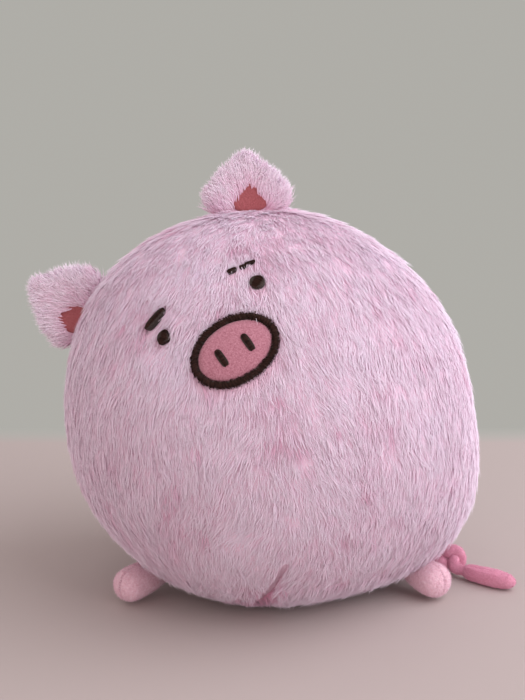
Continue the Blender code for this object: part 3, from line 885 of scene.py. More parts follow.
def in_ear(points, margin):
    """Whether points lie in an ear's root, and a margin inside its sides."""
    found = np.zeros(len(points), bool)
    for side in EAR_ANGLES:
        wide, _, deep = seen_from_ear(points, side)
        across = np.abs(wide - EAR_SHIFTS[side]) < EAR_CORE_WIDTH / 2 - margin
        found |= across & (np.abs(deep) < EAR_THICKNESS / 2 - margin)
    return found & (points[:, 2] > CENTRE[2])


def near_ears(points):
    """A share from 0 to 1 that is full beside the roots of the ears."""
    near = np.zeros(len(points))
    for side in EAR_ANGLES:
        wide, high, deep = seen_from_ear(points, side)
        beside = bell(wide, EAR_WIDTH / 2) * bell(deep, EAR_SURROUND)
        near = np.maximum(near, beside * (high > -EAR_SURROUND_BELOW))
    return near


def make_undercoat():
    """The cloth under the pile: a front and a back panel that meet in the side seam."""

    def place(directions):
        points = body_point(directions, -UNDERCOAT_SINK)
        height = ripple(points, CLOTH_WAVE, 5) * CLOTH_WAVE_HEIGHT
        height -= UNDERCOAT_DIP * near_marks(points)
        across, near = dart_distance(points)
        height -= DART_DEPTH * near * bell(across, DART_WIDTH)
        height -= SEAM_DIP * bell(points[:, 1] - SEAM_SETBACK, SEAM_REACH / 2)
        return settled(points + directions * height[:, None], PILE_LIFT)

    seam = (0, SEAM_SETBACK, 0)
    for side, toward in (("front", 1), ("back", -1)):
        name = "body_%s_backing" % side
        mesh = form_mesh(name, place, 192, 96, (seam, (0, toward, 0)))
        cads = ("body_%s_fur" % side, "body_stuffing")
        add_piece(name, mesh, UNDERCOAT, "root", cads)


def dart_distance(points):
    """The signed distance across from the dart, and how far it applies along it."""
    out = towards(DART_AZIMUTH, DART_ELEVATION)
    level_up = unit(UP - out * (UP @ out))
    lean = math.radians(DART_LEAN)
    up = level_up * math.cos(lean) + np.cross(level_up, out) * math.sin(lean)
    right = np.cross(up, out)
    away = points - body_point(out[None])[0]
    across = away @ right
    along = np.abs(away @ up) / (DART_LENGTH / 2)
    near = np.clip(1.4 - along, 0, 1) * (away @ out > -DART_SURROUND)
    return across, near


def share_before_dart(paths):
    """The share of each path, from its root, that stays on its own side of the crease."""
    across, near = dart_distance(paths.reshape(-1, 3))
    crossed = (np.abs(across) < DART_WIDTH / 2) & (near > 0.3)
    return share_before(crossed.reshape(-1, paths.shape[1]))


def add_body_strands(stem, paths, normals, widths, tints, levels, draw):
    """Strands of the body, cut clear of the marks and kept off the sole and the ears."""
    shares = share_clear(paths, draw)
    roots = paths[:, 0]
    shares = np.minimum(shares, share_before_dart(paths))
    shown = (shares > 0.3) & (roots[:, 2] > LOWEST_ROOT) & ~in_ear(roots, EAR_ROOT_MARGIN)
    paths = settled(shortened(paths, shares, np.array(levels)), PILE_LIFT)
    paths[..., 2] = np.maximum(paths[..., 2], LOWEST_TIP)
    front = roots[:, 1] < SEAM_SETBACK
    for panel, chosen in (("front", front & shown), ("back", ~front & shown)):
        add_strands(
            "body_%s_%s" % (panel, stem), FUR, "root",
            paths[chosen], normals[chosen], widths[chosen], tints[chosen], STRAND_FLATNESS,
        )


def body_tone(points):
    """The pile's tone from 0, deep pink, to 1, pale, in soft patches, with painted shade that makes it
    deeper pink along the dart's crease.
    """
    across, near = dart_distance(points)
    wide, narrow = TONE_PATCHES
    tone = 0.5 + 0.17 * ripple(points, wide, 31) + 0.10 * ripple(points, narrow, 32)
    # Painted shade: the pile turns deeper pink along the dart's crease
    return tone - 0.55 * near * bell(across, DART_PAINTED_SHADE_WIDTH)


def make_body_pile():
    """The long pile of the body in tufts that close towards their tips."""
    draw = np.random.default_rng(3)
    tuft_directions = spread_directions(TUFTS)
    jitter = draw.normal(size=tuft_directions.shape) * TUFT_JITTER_SHARE
    tuft_directions = unit(tuft_directions + jitter)
    owner = np.repeat(np.arange(TUFTS), STRANDS_IN_TUFT)
    count = len(owner)
    spread = draw.normal(size=(count, 3)) * (TUFT_RADIUS / REACH)
    directions = unit(tuft_directions[owner] + spread)

    def place(where):
        return body_point(where, -ROOT_SINK)

    roots, normals, _ = surface(place, directions)
    tuft_roots, tuft_normals, _ = surface(place, tuft_directions)
    tuft_flows = combed(tuft_roots, tuft_normals)
    turn = draw.normal(size=TUFTS) * 0.16
    tuft_sides = np.cross(tuft_normals, tuft_flows)
    tuft_flows = unit(tuft_flows * np.cos(turn)[:, None] + tuft_sides * np.sin(turn)[:, None])
    flows = flatten(tuft_flows[owner] + draw.normal(size=(count, 3)) * 0.14, normals)

    field = ripple(tuft_roots, LENGTH_PATCH, 21)
    tuft_length = STRAND_LENGTH * (1 + 0.08 * field + 0.12 * draw.normal(size=TUFTS))
    length = tuft_length[owner] * (1 + 0.10 * draw.normal(size=count))
    length = np.clip(length, STRAND_LENGTH * 0.6, STRAND_LENGTH * 1.35)
    rising = near_ears(tuft_roots) * 0.12
    low = tuft_roots[:, 2] < FRINGE_LEVEL
    rising = np.where(low, FRINGE_SHARE * draw.uniform(0.4, 1.0, size=TUFTS), rising)
    start_lean = PILE_LEANS[0] - PILE_RISE_ANGLES[0] * rising + 2.5 * draw.normal(size=TUFTS)
    end_lean = PILE_LEANS[1] - PILE_RISE_ANGLES[1] * rising + 3 * draw.normal(size=TUFTS)
    leans = (np.radians(start_lean)[owner], np.radians(end_lean + 3 * field)[owner])
    closing = np.clip(TUFT_CLOSING_SHARE + 0.15 * draw.normal(size=count), 0.1, 0.9)
    tuft = (tuft_roots[owner], tuft_flows[owner], closing)
    wave = draw.normal(size=count) * length * STRAND_WAVE_SHARE
    paths = grow(roots, normals, flows, length, leans, tuft, wave)
    widths = STRAND_WIDTH * draw.uniform(0.6, 1.3, size=count)
    tints = tint_of(body_tone(roots) + 0.12 * draw.normal(size=TUFTS)[owner])
    add_body_strands("pile", paths, normals, widths, tints, STRAND_LEVELS, draw)

    roots, normals, _ = surface(place, spread_directions(FUZZ))
    flows = flatten(combed(roots, normals) + draw.normal(size=(FUZZ, 3)) * 0.35, normals)
    length = FUZZ_LENGTH * draw.uniform(0.7, 1.3, size=FUZZ)
    lean = np.radians(draw.uniform(*FUZZ_LEANS, size=FUZZ))
    paths = grow(roots, normals, flows, length, (lean, lean + 0.1))
    widths = FUZZ_WIDTH * draw.uniform(0.7, 1.3, size=FUZZ)
    tints = tint_of(body_tone(roots) + 0.10 * draw.normal(size=FUZZ))
    add_body_strands("fuzz", paths, normals, widths, tints, (0.0, 1.0), draw)


def satin(name, starts, ends, top, cads):
    """Threads laid side by side on the face, each arched from its start to its end."""
    draw = np.random.default_rng(len(name))
    count = len(starts)
    levels = np.array((0.0, 0.10, 0.35, 0.65, 0.90, 1.0))
    heights = np.array((-THREAD_DIP, top * 0.4, top, top, top * 0.4, -THREAD_DIP))
    spots = starts[:, None] + (ends - starts)[:, None] * levels[:, None]
    heights = heights + draw.normal(size=(count, 1)) * THREAD_HEIGHT_JITTER
    paths = on_face(spots[..., 0], spots[..., 1], heights)
    outs = unit(paths[:, 2] - CENTRE)
    widths = THREAD_WIDTH * draw.uniform(0.9, 1.25, size=count)
    tints = draw.integers(0, TINTS, size=count)
    mesh = strand_mesh(name, paths, outs, widths, tints, THREAD_FLATNESS)
    add_piece(name, mesh, THREAD, "root", cads)


def face_pad(name, material, mark, bottom, top, power, crown=0.0, cads=()):
    """A low pad on the face, bent to the body under it and a little crowned."""
    centre, half_size, lean, taper = mark

    def place(directions):
        x, y, z = rounded(directions, PAD_FULLNESS_SHARE, power)
        x = x * (1 - taper * np.clip(-y, 0, 1))
        height = (bottom + top) / 2 + z * (top - bottom) / 2
        height += np.where(z > 0, crown * np.clip(1 - x ** 2 - y ** 2, 0, 1), 0)
        across, rise = turned(x * half_size[0], y * half_size[1], lean)
        return on_face(centre[0] + across, centre[1] + rise, height)

    mesh = form_mesh(name, place, 64, 32)
    add_piece(name, mesh, material, "root", cads)


def make_snout():
    """The brushed patch, its satin-stitched border and the two nostrils."""
    outer = np.array((SNOUT_WIDTH / 2, SNOUT_HEIGHT / 2))
    inner = outer - SNOUT_BORDER_WIDTH
    mark = ((0, 0), tuple(inner + SNOUT_CLOTH_TUCK), 0, 0)
    face_pad(
        "snout_cloth", SNOUT_CLOTH, mark, SNOUT_CLOTH_BOTTOM, SNOUT_CLOTH_TOP,
        SNOUT_POWER, crown=SNOUT_CLOTH_CROWN, cads=("snout_patch",),
    )

    draw = np.random.default_rng(8)
    turn = np.arange(BORDER_THREADS) / BORDER_THREADS * 2 * math.pi
    rim = np.stack((np.cos(turn), np.sin(turn)), -1)
    lean = BORDER_SLANT * (1 + draw.normal(size=(BORDER_THREADS, 1)))
    slant = np.stack((-np.sin(turn), np.cos(turn)), -1) * lean
    ragged = draw.normal(size=(2, BORDER_THREADS, 1)) * BORDER_RAGGEDNESS
    starts = rim * (outer - BORDER_OVERLAP + ragged[0]) + slant
    ends = rim * (inner + BORDER_OVERLAP + ragged[1]) - slant
    satin("snout_border_threads", starts, ends, BORDER_HEIGHT, ("snout_border",))

    def ring(directions):
        turn_at = np.arctan2(directions[:, 1], directions[:, 0])
        lean = np.arcsin(np.clip(directions[:, 2], -1, 1)) * 2
        outward = np.cos(lean) * (SNOUT_BORDER_WIDTH / 2 - BORDER_BASE_MARGIN)
        middle = outer - SNOUT_BORDER_WIDTH / 2
        across = np.cos(turn_at) * (middle[0] + outward)
        rise = np.sin(turn_at) * (middle[1] + outward)
        height = BORDER_BASE_MIDDLE + np.sin(lean) * BORDER_BASE_HALF_HEIGHT
        return on_face(across, rise, height)

    mesh = ring_mesh("snout_border_base", ring, 96, 12)
    add_piece("snout_border_base", mesh, THREAD_BASE, "root")

    half_size = (NOSTRIL_WIDTH / 2, NOSTRIL_HEIGHT / 2)
    for side, sign in (("left", -1), ("right", 1)):
        mark = ((sign * NOSTRIL_SPACING / 2, -NOSTRIL_DROP), half_size, NOSTRIL_LEAN, 0)
        name = "nostril_" + side
        stitch_mark(name, mark, True, NOSTRIL_HEIGHT_OVER_PILE, NOSTRIL_POWER, name)


def band_faces(rings, sides, closed):
    """The faces between rings of points, and from the last to the first if closed."""
    faces = []
    for k in range(rings if closed else rings - 1):
        for j in range(sides):
            a = k * sides + j
            b = k * sides + (j + 1) % sides
            c = (k + 1) % rings * sides + j
            d = (k + 1) % rings * sides + (j + 1) % sides
            faces.append((a, c, d, b))
    return faces


def ring_mesh(name, place, segments, sides):
    """A closed ring whose points are place(unit directions of turn and half lean)."""
    directions = []
    for turn in np.arange(segments) / segments * 2 * math.pi:
        for lean in np.arange(sides) / sides * 2 * math.pi - math.pi:
            flat = math.cos(lean / 2)
            directions.append((math.cos(turn) * flat, math.sin(turn) * flat, math.sin(lean / 2)))
    return closed_mesh(name, place(np.array(directions)), band_faces(segments, sides, True))


def stitch_mark(name, mark, across_width, height, power, cad):
    """A mark of satin threads, over the dark base that shows between them. The threads
    run across the mark's width where across_width is true, and otherwise up it."""
    centre, half_size, lean, taper = mark
    draw = np.random.default_rng(sum(map(ord, name)))
    base_top = height - THREAD_COVER
    face_pad(name + "_base", THREAD_BASE, mark, MARK_BOTTOM, base_top, power)
    long_half, short_half = half_size if not across_width else half_size[::-1]
    count = int(2 * long_half / (THREAD_WIDTH * 0.86))
    along = (np.arange(count) + 0.5) / count * 2 - 1
    reach = short_half * (1 - np.abs(along) ** power) ** (1 / power)
    low_reach = reach
    if taper:
        low_reach = short_half * 1.25 * (1 - np.abs(along)) ** taper
    along = along * long_half
    ends = []
    for rim in (reach, -low_reach):
        rim = rim + draw.normal(size=count) * THREAD_JITTER
        x, y = turned(rim, along, lean) if across_width else turned(along, rim, lean)
        ends.append(np.stack((x, y), -1) + np.array(centre))
    satin(name + "_threads", *ends, height, (cad,))


def make_eyes_and_brows():
    """The round eyes and the short brows, in satin stitch."""
    for name, mark in stitched_marks().items():
        if name != "snout":
            power = EYE_POWER if name.startswith("eye") else BROW_POWER
            height = MARK_HEIGHTS.get(name, MARK_HEIGHT)
            cad = "brow_right" if name.startswith("brow_right") else name
            stitch_mark(name, mark, False, height, power, cad)


def make_ear(side):
    """A thick cupped ear: its cloth, the lining in the fold, and the long pile."""
    body = "ear_" + side
    origin, along, out, forward = ear_place(side)
    half_thick = EAR_CORE_THICKNESS / 2

    def world(wide, high, deep):
        cupped = deep + EAR_CUP * ((wide / EAR_CORE_WIDTH * 2) ** 2 - 0.3)
        return (
            origin
            + np.multiply.outer(wide + EAR_SHIFTS[side], along)
            + np.multiply.outer(high, out)
            + np.multiply.outer(cupped, forward)
        )

    def place(directions):
        x, y, z = rounded(directions, EAR_FULLNESS_SHARE, EAR_CORE_POWER)
        rise = (y + 1) / 2
        wide = x * EAR_CORE_WIDTH / 2 * (1 - EAR_CORE_NARROWING_SHARE * rise)
        high = rise * (EAR_CORE_HEIGHTS[side] - EAR_CORE_ROOT) + EAR_CORE_ROOT
        return world(wide, high, z * half_thick)

    name = body + "_cloth"
    mesh = form_mesh(name, place, 96, 48)
    add_piece(name, mesh, UNDERCOAT, body, (body + "_fur",))

    def lining(directions):
        x, y, z = rounded(directions, PAD_FULLNESS_SHARE, LINING_POWER)
        rise = (y + 1) / 2
        wide = x * (LINING_WIDTH / 2 + LINING_MARGIN) * (1 - LINING_NARROWING_SHARE * rise)
        wide += OPENING_SHIFTS[side]
        high = LINING_LEVEL - LINING_MARGIN + rise * (LINING_HEIGHT + LINING_MARGIN * 2)
        dish = np.where(z > 0, LINING_DISH * np.clip(1 - x ** 2 - y ** 2, 0, 1), 0)
        top = half_thick + LINING_RISE - dish
        return world(wide, high, top - LINING_THICKNESS / 2 * (1 - z))

    name = body + "_lining_cloth"
    mesh = form_mesh(name, lining, 64, 32)
    add_piece(name, mesh, LINING, body, (body + "_lining",))
    grow_ear_pile(side, place)


def grow_ear_pile(side, place):
    """The long pile on an ear's form, which leaves the fold open over the lining."""
    _, along, out, forward = ear_place(side)
    draw = np.random.default_rng(40 + len(side))
    roots, normals = spread_over(place, EAR_STRANDS, draw)
    clump = 0.30 * np.multiply.outer(ripple(roots, EAR_CLUMPS[0], 45), along)
    clump += 0.30 * np.multiply.outer(ripple(roots, EAR_CLUMPS[1], 46), out)
    wide, high, _ = seen_from_ear(roots, side)
    wide -= EAR_SHIFTS[side]
    in_front = (normals @ forward) > 0.2
    rise = np.clip((high - LINING_LEVEL) / OPENING_HEIGHT, 0, 1.2)
    beside = np.abs(wide - OPENING_SHIFTS[side])
    opening = beside < OPENING_WIDTH / 2 * np.clip(1 - rise, 0, 1) ** 0.8
    clear = ~(opening & in_front) & (high > -EAR_THICKNESS / 2)
    sideways = np.clip(wide / (LINING_WIDTH / 2), -1, 1)
    heading = unit(np.multiply.outer(sideways * 0.45, along) + 0.9 * out)
    facing = np.clip((normals * heading).sum(1), 0, 1)
    flows = flatten(heading + clump + draw.normal(size=heading.shape) * 0.20, normals)
    length = EAR_STRAND_LENGTH * draw.uniform(0.65, 1.2, size=EAR_STRANDS)
    start_lean = EAR_LEANS[0] - EAR_RISE_ANGLES[0] * facing + 6 * draw.normal(size=EAR_STRANDS)
    end_lean = EAR_LEANS[1] - EAR_RISE_ANGLES[1] * facing + 5 * draw.normal(size=EAR_STRANDS)
    leans = (np.radians(start_lean), np.radians(end_lean))
    wave = draw.normal(size=EAR_STRANDS) * length * STRAND_WAVE_SHARE
    paths = grow(roots, normals, flows, length, leans, None, wave)
    paths = shortened(paths, np.ones(EAR_STRANDS), np.array(EAR_STRAND_LEVELS))
    widths = EAR_STRAND_WIDTH * draw.uniform(0.6, 1.2, size=EAR_STRANDS)
    outer = np.abs(wide) / (EAR_CORE_WIDTH / 2) + high / EAR_CORE_HEIGHTS[side]
    tone = 0.15 + 0.42 * outer + 0.15 * ripple(roots, EAR_CLUMPS[1], 47)
    tints = tint_of(tone + 0.10 * draw.normal(size=EAR_STRANDS))
    add_strands(
        "ear_%s_pile" % side, EAR_FUR, "ear_" + side,
        paths[clear], normals[clear], widths[clear], tints[clear], STRAND_FLATNESS,
    )


def add_fuzz(stem, material, body, roots, normals, length, seed):
    """The short nap of fleece on points of a surface."""
    draw = np.random.default_rng(seed)
    count = len(roots)
    flows = flatten(draw.normal(size=roots.shape), normals)
    lean = np.radians(draw.uniform(30, 75, size=count))
    lengths = length * draw.uniform(0.6, 1.3, size=count)
    paths = grow(roots, normals, flows, lengths, (lean, lean + 0.2))
    paths = shortened(paths, np.ones(count), np.array((0.0, 1.0)))
    paths[..., 2] = np.maximum(paths[..., 2], LOWEST_NAP)
    widths = NAP_WIDTH * draw.uniform(0.7, 1.3, size=count)
    tints = draw.integers(0, TINTS, size=count)
    add_strands(stem, material, body, paths, normals, widths, tints, NAP_FLATNESS)


def make_foot(side):
    """A stuffed fleece foot with the seam that joins its two panels."""
    body = "foot_" + side
    root_radius = FOOT_ROOT_DIAMETER / 2
    toe_radius = FOOT_TOE_DIAMETER / 2
    root = beside_body(FOOT_ROOT_AZIMUTHS[side], FOOT_ROOT_LEVEL, root_radius - FOOT_SEAT)
    toe = towards(FOOT_TOE_AZIMUTHS[side])
    across = np.cross(UP, toe)
    drop = FOOT_ROOT_LEVEL - toe_radius - FOOT_LIFT
    reach = FOOT_REACHES[side]

    def place(directions):
        x, y, z = directions.T
        share = np.clip((z + 0.62) / 1.24, 0, 1)
        share = share * share * (3 - 2 * share)
        radius = root_radius + (toe_radius - root_radius) * share
        seam = bell(x, FOOT_SEAM_SHARE)
        pucker = 0.25 * np.sin(np.arctan2(y, z) * FOOT_PUCKERS) * bell(x, FOOT_PUCKER_SHARE)
        radius = radius - FOOT_SEAM_DEPTH * seam + FOOT_PUCKER_HEIGHT * pucker * (1 - seam)
        local = directions[:, [2, 0, 1]] * radius[:, None]
        local[:, 0] += reach * share
        local[:, 2] -= drop * share
        points = root + local[:, :1] * toe + local[:, 1:2] * across + local[:, 2:] * UP
        return settled(points, FOOT_LIFT)

    name = body + "_cloth"
    cads = (body + "_inner_panel", body + "_outer_panel", body + "_stuffing")
    mesh = form_mesh(name, place, 160, 96)
    add_piece(name, mesh, FLEECE, body, cads)

    draw = np.random.default_rng(60 + len(side))
    roots, normals = spread_over(place, FOOT_NAP, draw)
    roots = roots - normals * FOOT_NAP_SINK
    add_fuzz(body + "_nap", FOOT_FUZZ, body, roots, normals, FOOT_NAP_LENGTH, 61)

    turn = np.radians(np.arange(*STITCH_ANGLES))
    one = np.stack((np.full(len(turn), -0.085), np.cos(turn), np.sin(turn)), -1)
    other = one * np.array((-1, 1, 1))
    starts, normals, _ = surface(place, unit(one))
    ends, _, _ = surface(place, unit(other))
    levels = np.linspace(0, 1, len(STITCH_HEIGHTS))
    paths = starts[:, None] + (ends - starts)[:, None] * levels[:, None]
    paths = paths + normals[:, None] * np.array(STITCH_HEIGHTS)[:, None]
    widths = np.full(len(paths), STITCH_WIDTH)
    tints = draw.integers(0, TINTS, size=len(paths))
    add_strands(
        body + "_stitches", STITCH, body,
        paths, normals, widths, tints, THREAD_FLATNESS,
    )


def smooth_route(points, step):
    """Points a step apart along a smooth curve through the given ones."""
    points = [np.array(point, dtype=float) for point in points]
    ends = [2 * points[0] - points[1], *points, 2 * points[-1] - points[-2]]
    route = []
    for a, b, c, d in zip(ends, ends[1:], ends[2:], ends[3:]):
        count = max(1, round(np.linalg.norm(c - b) / step))
        for k in range(count):
            t = k / count
            route.append(
                0.5 * (
                    2 * b
                    + (c - a) * t
                    + (2 * a - 5 * b + 4 * c - d) * t ** 2
                    + (3 * b - a - 3 * c + d) * t ** 3
                )
            )
    return np.array([*route, points[-1]])


def knot_points(centre, travel):
    """An overhand knot: two turns round a ring that swing in and out three times, with
    both legs leaving at its lower side."""
    lean = math.radians(KNOT_LEAN)
    back = np.cross(UP, travel)
    down = -UP * math.cos(lean) - back * math.sin(lean)
    side = -travel
    deep = np.cross(down, side)
    ring = KNOT_STRAND * KNOT_RING_SHARE
    swing = KNOT_STRAND * KNOT_SWING_SHARE
    lift = KNOT_STRAND * KNOT_LIFT_SHARE
    leg = KNOT_STRAND * KNOT_LEG_SHARE
    spread = KNOT_STRAND * KNOT_LEG_SPREAD_SHARE
    points = [centre + down * leg + side * spread + deep * lift]
    first = math.pi / 6
    for k in range(KNOT_TURN_POINTS + 1):
        t = first + (2 * math.pi - 2 * first) * k / KNOT_TURN_POINTS
        radius = ring + swing * math.cos(3 * t)
        low = radius * math.cos(2 * t)
        across = radius * math.sin(2 * t)
        points.append(centre + down * low + side * across + deep * (lift * math.sin(3 * t)))
    points.append(centre + down * leg - side * spread - deep * lift)
    return points, deep


def tube_mesh(name, route, wide, thick, outward):
    """A closed soft tube along a route, wide across and thick towards outward, which is
    a direction for each point."""
    along = unit(np.gradient(route, axis=0))
    out = flatten(outward, along)
    across = np.cross(along, out)
    turns = np.arange(TUBE_SIDES) / TUBE_SIDES * 2 * math.pi
    count = len(route)
    rings = (
        route[:, None]
        + across[:, None] * (np.cos(turns)[:, None] * wide[:, None, None] / 2)
        + out[:, None] * (np.sin(turns)[:, None] * thick[:, None, None] / 2)
    )
    normals = unit(
        across[:, None] * (np.cos(turns)[:, None] / wide[:, None, None])
        + out[:, None] * (np.sin(turns)[:, None] / thick[:, None, None])
    )
    points = settled(rings.reshape(-1, 3), FOOT_LIFT)
    faces = band_faces(count, TUBE_SIDES, False)
    faces.append(tuple(range(TUBE_SIDES)))
    faces.append(tuple((count - 1) * TUBE_SIDES + j for j in range(TUBE_SIDES))[::-1])
    return closed_mesh(name, points, faces), points, normals.reshape(-1, 3)


def scattered(points, normals, count, spread, seed):
    """Points near a dense mesh's own, moved a little in the surface."""
    draw = np.random.default_rng(seed)
    picked = draw.integers(0, len(points), size=count)
    shift = draw.normal(size=(count, 3)) * spread
    normal = normals[picked]
    return points[picked] + shift - normal * dot(shift, normal), normal


def make_tail_tube():
    """The tail from the body's back to the neck before the knot. Returns the neck."""
    radius = TAIL_DIAMETER / 2
    middle = CENTRE[2]
    root = beside_body(TAIL_ROOT_AZIMUTH, middle * TAIL_ROOT_LEVEL_SHARE, radius - TAIL_SEAT)
    neck = beside_body(
        NECK_AZIMUTH, middle * NECK_LEVEL_SHARE, TAIL_DIAMETER * NECK_DISTANCE_SHARE
    )
    places = [root]
    for azimuth, level, distance in TAIL_ROUTE_SHARES:
        places.append(beside_body(azimuth, middle * level, TAIL_DIAMETER * distance))
    places.append(neck)
    route = smooth_route(places, TAIL_STEP)
    share = np.linspace(0, 1, len(route))
    thin = np.maximum(0, share - NECK_START_SHARE) / (1 - NECK_START_SHARE)
    width = TAIL_DIAMETER + (NECK_DIAMETER - TAIL_DIAMETER) * thin ** 2
    ends = np.sqrt(np.clip(np.minimum(share, 1 - share) * 60, 0.05, 1))
    width = width * ends * (1 + 0.025 * ripple(route, TAIL_WAVE, 71))
    up = np.tile(UP, (len(route), 1))
    mesh, points, normals = tube_mesh("tail_tube", route, width, width * 0.96, up)
    add_tail_cloth("tail_tube", mesh, "tail", "tail_root")
    spots, outs = scattered(points, normals, TAIL_NAPS["tube"], TAIL_NAP_SPREAD, 72)
    add_tail_nap("tail_tube_nap", "tail", spots, outs, 73)
    return neck


def add_tail_cloth(name, mesh, body, cad):
    """A part of the tail in the tail's own fleece."""
    add_piece(name, mesh, TAIL_FLEECE, body, (cad,))


def add_tail_nap(name, body, spots, outs, seed):
    """The tail's nap, shorter than that of the feet."""
    add_fuzz(name, TAIL_FUZZ, body, spots, outs, TAIL_NAP_LENGTH, seed)


def make_tail_knot(neck):
    """The knot of one flat band. Returns the point where the loose end leaves it."""
    travel = towards(KNOT_AZIMUTH)
    centre = neck + travel * (KNOT_STRAND * KNOT_REACH_SHARE)
    centre[2] = KNOT_STRAND * KNOT_LEVEL_SHARE
    away = towards(TAIL_END_AZIMUTH)
    turns, deep = knot_points(centre, travel)
    exit_point = turns[-1] + away * KNOT_STRAND
    exit_point[2] = TAIL_END_THICKNESS / 2 + FOOT_LIFT
    inner = exit_point + away * KNOT_TUCK
    band = smooth_route([neck, *turns, exit_point, inner], KNOT_STEP)
    share = np.linspace(0, 1, len(band))
    grown = np.clip(np.minimum(share, 1 - share) * 9, 0, 1)
    wide = NECK_DIAMETER + (KNOT_BAND_WIDTH - NECK_DIAMETER) * grown
    thick = NECK_DIAMETER + (KNOT_BAND_THICKNESS - NECK_DIAMETER) * grown
    outward = deep + 0.25 * unit(band - centre)
    mesh, points, normals = tube_mesh("tail_knot_band", band, wide, thick, outward)
    add_tail_cloth("tail_knot_band", mesh, "tail_tip", "tail_knot")
    spots, outs = scattered(points, normals, TAIL_NAPS["knot"], KNOT_NAP_SPREAD, 74)
    add_tail_nap("tail_knot_nap", "tail_tip", spots, outs, 75)
    return exit_point


def make_tail_end(exit_point):
    """The loose end of the tail, which lies on the table with a fold along its top."""
    away = towards(TAIL_END_AZIMUTH)
    across = np.cross(UP, away)

    def place(directions):
        x, y, z = rounded(directions, TAIL_END_FULLNESS_SHARE, TAIL_END_POWER)
        share_in = (1 - x) / 2
        narrow = 1 - TAIL_END_NARROWING_SHARE * share_in
        along = (x + 1) * TAIL_END_LENGTH / 2
        past_seam = along - TAIL_END_LENGTH + TAIL_END_SEAM_SETBACK
        seam = bell(past_seam, TAIL_END_SEAM_WIDTH)
        fold = bell(y - TAIL_END_FOLD_PLACE, TAIL_END_FOLD_SHARE)
        fold *= np.clip((0.62 - (x + 1) / 2) * 4, 0, 1)
        thick = TAIL_END_THICKNESS / 2 * (1 - 0.10 * seam - 0.20 * fold * (z > 0))
        wide = y * TAIL_END_WIDTH / 2 * narrow * (1 - 0.05 * seam)
        dent = 0.03 * np.sin(along * 420) + 0.02 * np.sin(along * 910 + 1)
        high = z * thick * (1 + dent) * (1 + 0.08 * (1 - np.clip(y, -1, 1) ** 2) * (z > 0))
        spot = exit_point + np.multiply.outer(along, away) + np.multiply.outer(wide, across)
        return spot + np.multiply.outer(high, UP)

    mesh = form_mesh("tail_end_cloth", place, 128, 96)
    add_tail_cloth("tail_end_cloth", mesh, "tail_tip", "tail_end")
    spots, outs = spread_over(place, TAIL_NAPS["end"], np.random.default_rng(76))
    add_tail_nap("tail_end_nap", "tail_tip", spots, outs, 77)


def joined(nodes, links, kind, *sockets, operation=None):
    """The result of a new node whose first inputs are the given sockets."""
    node = nodes.new(kind)
    if operation:
        node.operation = operation
    for number, socket in enumerate(sockets):
        links.new(socket, node.inputs[number])
    return node.outputs[0]


def seen_directly(nodes, links):
    """A socket that is 1 for what the camera sees, also in a reflection or through glass."""
    rays = nodes.new("ShaderNodeLightPath").outputs
    seen = rays["Is Camera Ray"]
    for kind in ("Is Glossy Ray", "Is Transmission Ray"):
        seen = joined(nodes, links, "ShaderNodeMath", seen, rays[kind], operation="MAXIMUM")
    return seen


def make_stage():
    """A pale table whose far edge is soft, with the wall's colour beyond it."""
    material, nodes, links, shader = new_material("ground", 0.75, 0.0, 0.3)
    backdrop = nodes.new("ShaderNodeEmission")
    backdrop.inputs["Color"].default_value = (*WALL_COLOUR, 1)
    seen = seen_directly(nodes, links)
    where = nodes.new("ShaderNodeTexCoord")
    split = nodes.new("ShaderNodeSeparateXYZ")
    links.new(where.outputs["Object"], split.inputs[0])
    depth = nodes.new("ShaderNodeMapRange")
    depth.inputs["From Min"].default_value = TABLE_EDGE - TABLE_EDGE_SOFTNESS
    depth.inputs["From Max"].default_value = TABLE_EDGE + TABLE_EDGE_SOFTNESS
    links.new(split.outputs["Y"], depth.inputs["Value"])
    mix = nodes.new("ShaderNodeMix")
    mix.data_type = "RGBA"
    mix.inputs["A"].default_value = (*TABLE_COLOUR, 1)
    mix.inputs["B"].default_value = (*WALL_COLOUR, 1)
    links.new(depth.outputs["Result"], mix.inputs["Factor"])
    links.new(mix.outputs["Result"], shader.inputs["Base Color"])
    share = depth.outputs["Result"]
    far = joined(nodes, links, "ShaderNodeMath", share, seen, operation="MULTIPLY")
    shaders = (shader.outputs[0], backdrop.outputs[0])
    blend = joined(nodes, links, "ShaderNodeMixShader", far, *shaders)
    links.new(blend, nodes["Material Output"].inputs["Surface"])
    form = bmesh.new()
    bmesh.ops.create_grid(form, x_segments=1, y_segments=1, size=FLOOR_SIZE)
    mesh = bpy.data.meshes.new("floor")
    form.to_mesh(mesh)
    form.free()
    mesh.materials.append(material)
    floor = add_object("floor", mesh)


def add_area(name, place, size, power, colour):
    """A square lamp that looks at the body's middle."""
    light = bpy.data.lights.new(name, "AREA")
    light.shape = "SQUARE"
    light.size = size
    light.energy = power
    light.color = colour
    lamp = add_object(name, light)
    lamp.location = place
    away = Vector(place) - Vector(CENTRE)
    lamp.rotation_euler = away.to_track_quat("Z", "Y").to_euler()


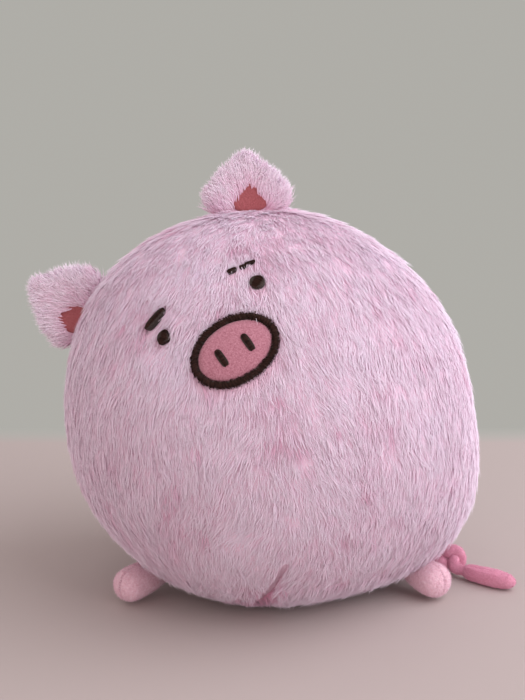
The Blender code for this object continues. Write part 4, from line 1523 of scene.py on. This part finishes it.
def make_light():
    """Soft daylight from the upper right, and a pale surround."""
    add_area("key", KEY_PLACE, KEY_SIZE, KEY_POWER, KEY_COLOUR)
    add_area("fill", FILL_PLACE, FILL_SIZE, FILL_POWER, FILL_COLOUR)
    world = bpy.data.worlds.new("surround")
    bpy.context.scene.world = world
    world.use_nodes = True
    nodes = world.node_tree.nodes
    links = world.node_tree.links
    surround = nodes["Background"]
    surround.inputs["Color"].default_value = (*SURROUND_COLOUR, 1)
    surround.inputs["Strength"].default_value = SURROUND_STRENGTH
    backdrop = nodes.new("ShaderNodeBackground")
    backdrop.inputs["Color"].default_value = (*WALL_COLOUR, 1)
    backdrop.inputs["Strength"].default_value = 1.0
    seen = seen_directly(nodes, links)
    shaders = (surround.outputs[0], backdrop.outputs[0])
    mix = joined(nodes, links, "ShaderNodeMixShader", seen, *shaders)
    links.new(mix, nodes["World Output"].inputs["Surface"])


def make_camera():
    """The photograph's camera, placed so that the body's centre is at its pixel."""
    data = bpy.data.cameras.new("camera")
    data.sensor_width = SENSOR
    data.lens = FOCAL_PIXELS / IMAGE_HEIGHT * SENSOR
    camera = add_object("camera", data)
    tilt = math.radians(CAMERA_ELEVATION)
    forward = np.array((0, math.cos(tilt), -math.sin(tilt)))
    upward = np.array((0, math.sin(tilt), math.cos(tilt)))
    right = np.array((1.0, 0, 0))
    scale = CAMERA_DISTANCE / FOCAL_PIXELS
    across = (BODY_PIXEL[0] - IMAGE_WIDTH / 2) * scale
    below = (BODY_PIXEL[1] - IMAGE_HEIGHT / 2) * scale
    camera.location = CENTRE - forward * CAMERA_DISTANCE - right * across + upward * below
    camera.rotation_euler = (math.pi / 2 - tilt, 0, 0)
    bpy.context.scene.camera = camera


make_camera()
make_light()
make_stage()
make_undercoat()
make_body_pile()
make_snout()
make_eyes_and_brows()
for ear_side in EAR_ANGLES:
    make_ear(ear_side)
for foot_side in FOOT_ROOT_AZIMUTHS:
    make_foot(foot_side)
tail_neck = make_tail_tube()
make_tail_end(make_tail_knot(tail_neck))
bpy.context.scene.view_settings.view_transform = "Standard"
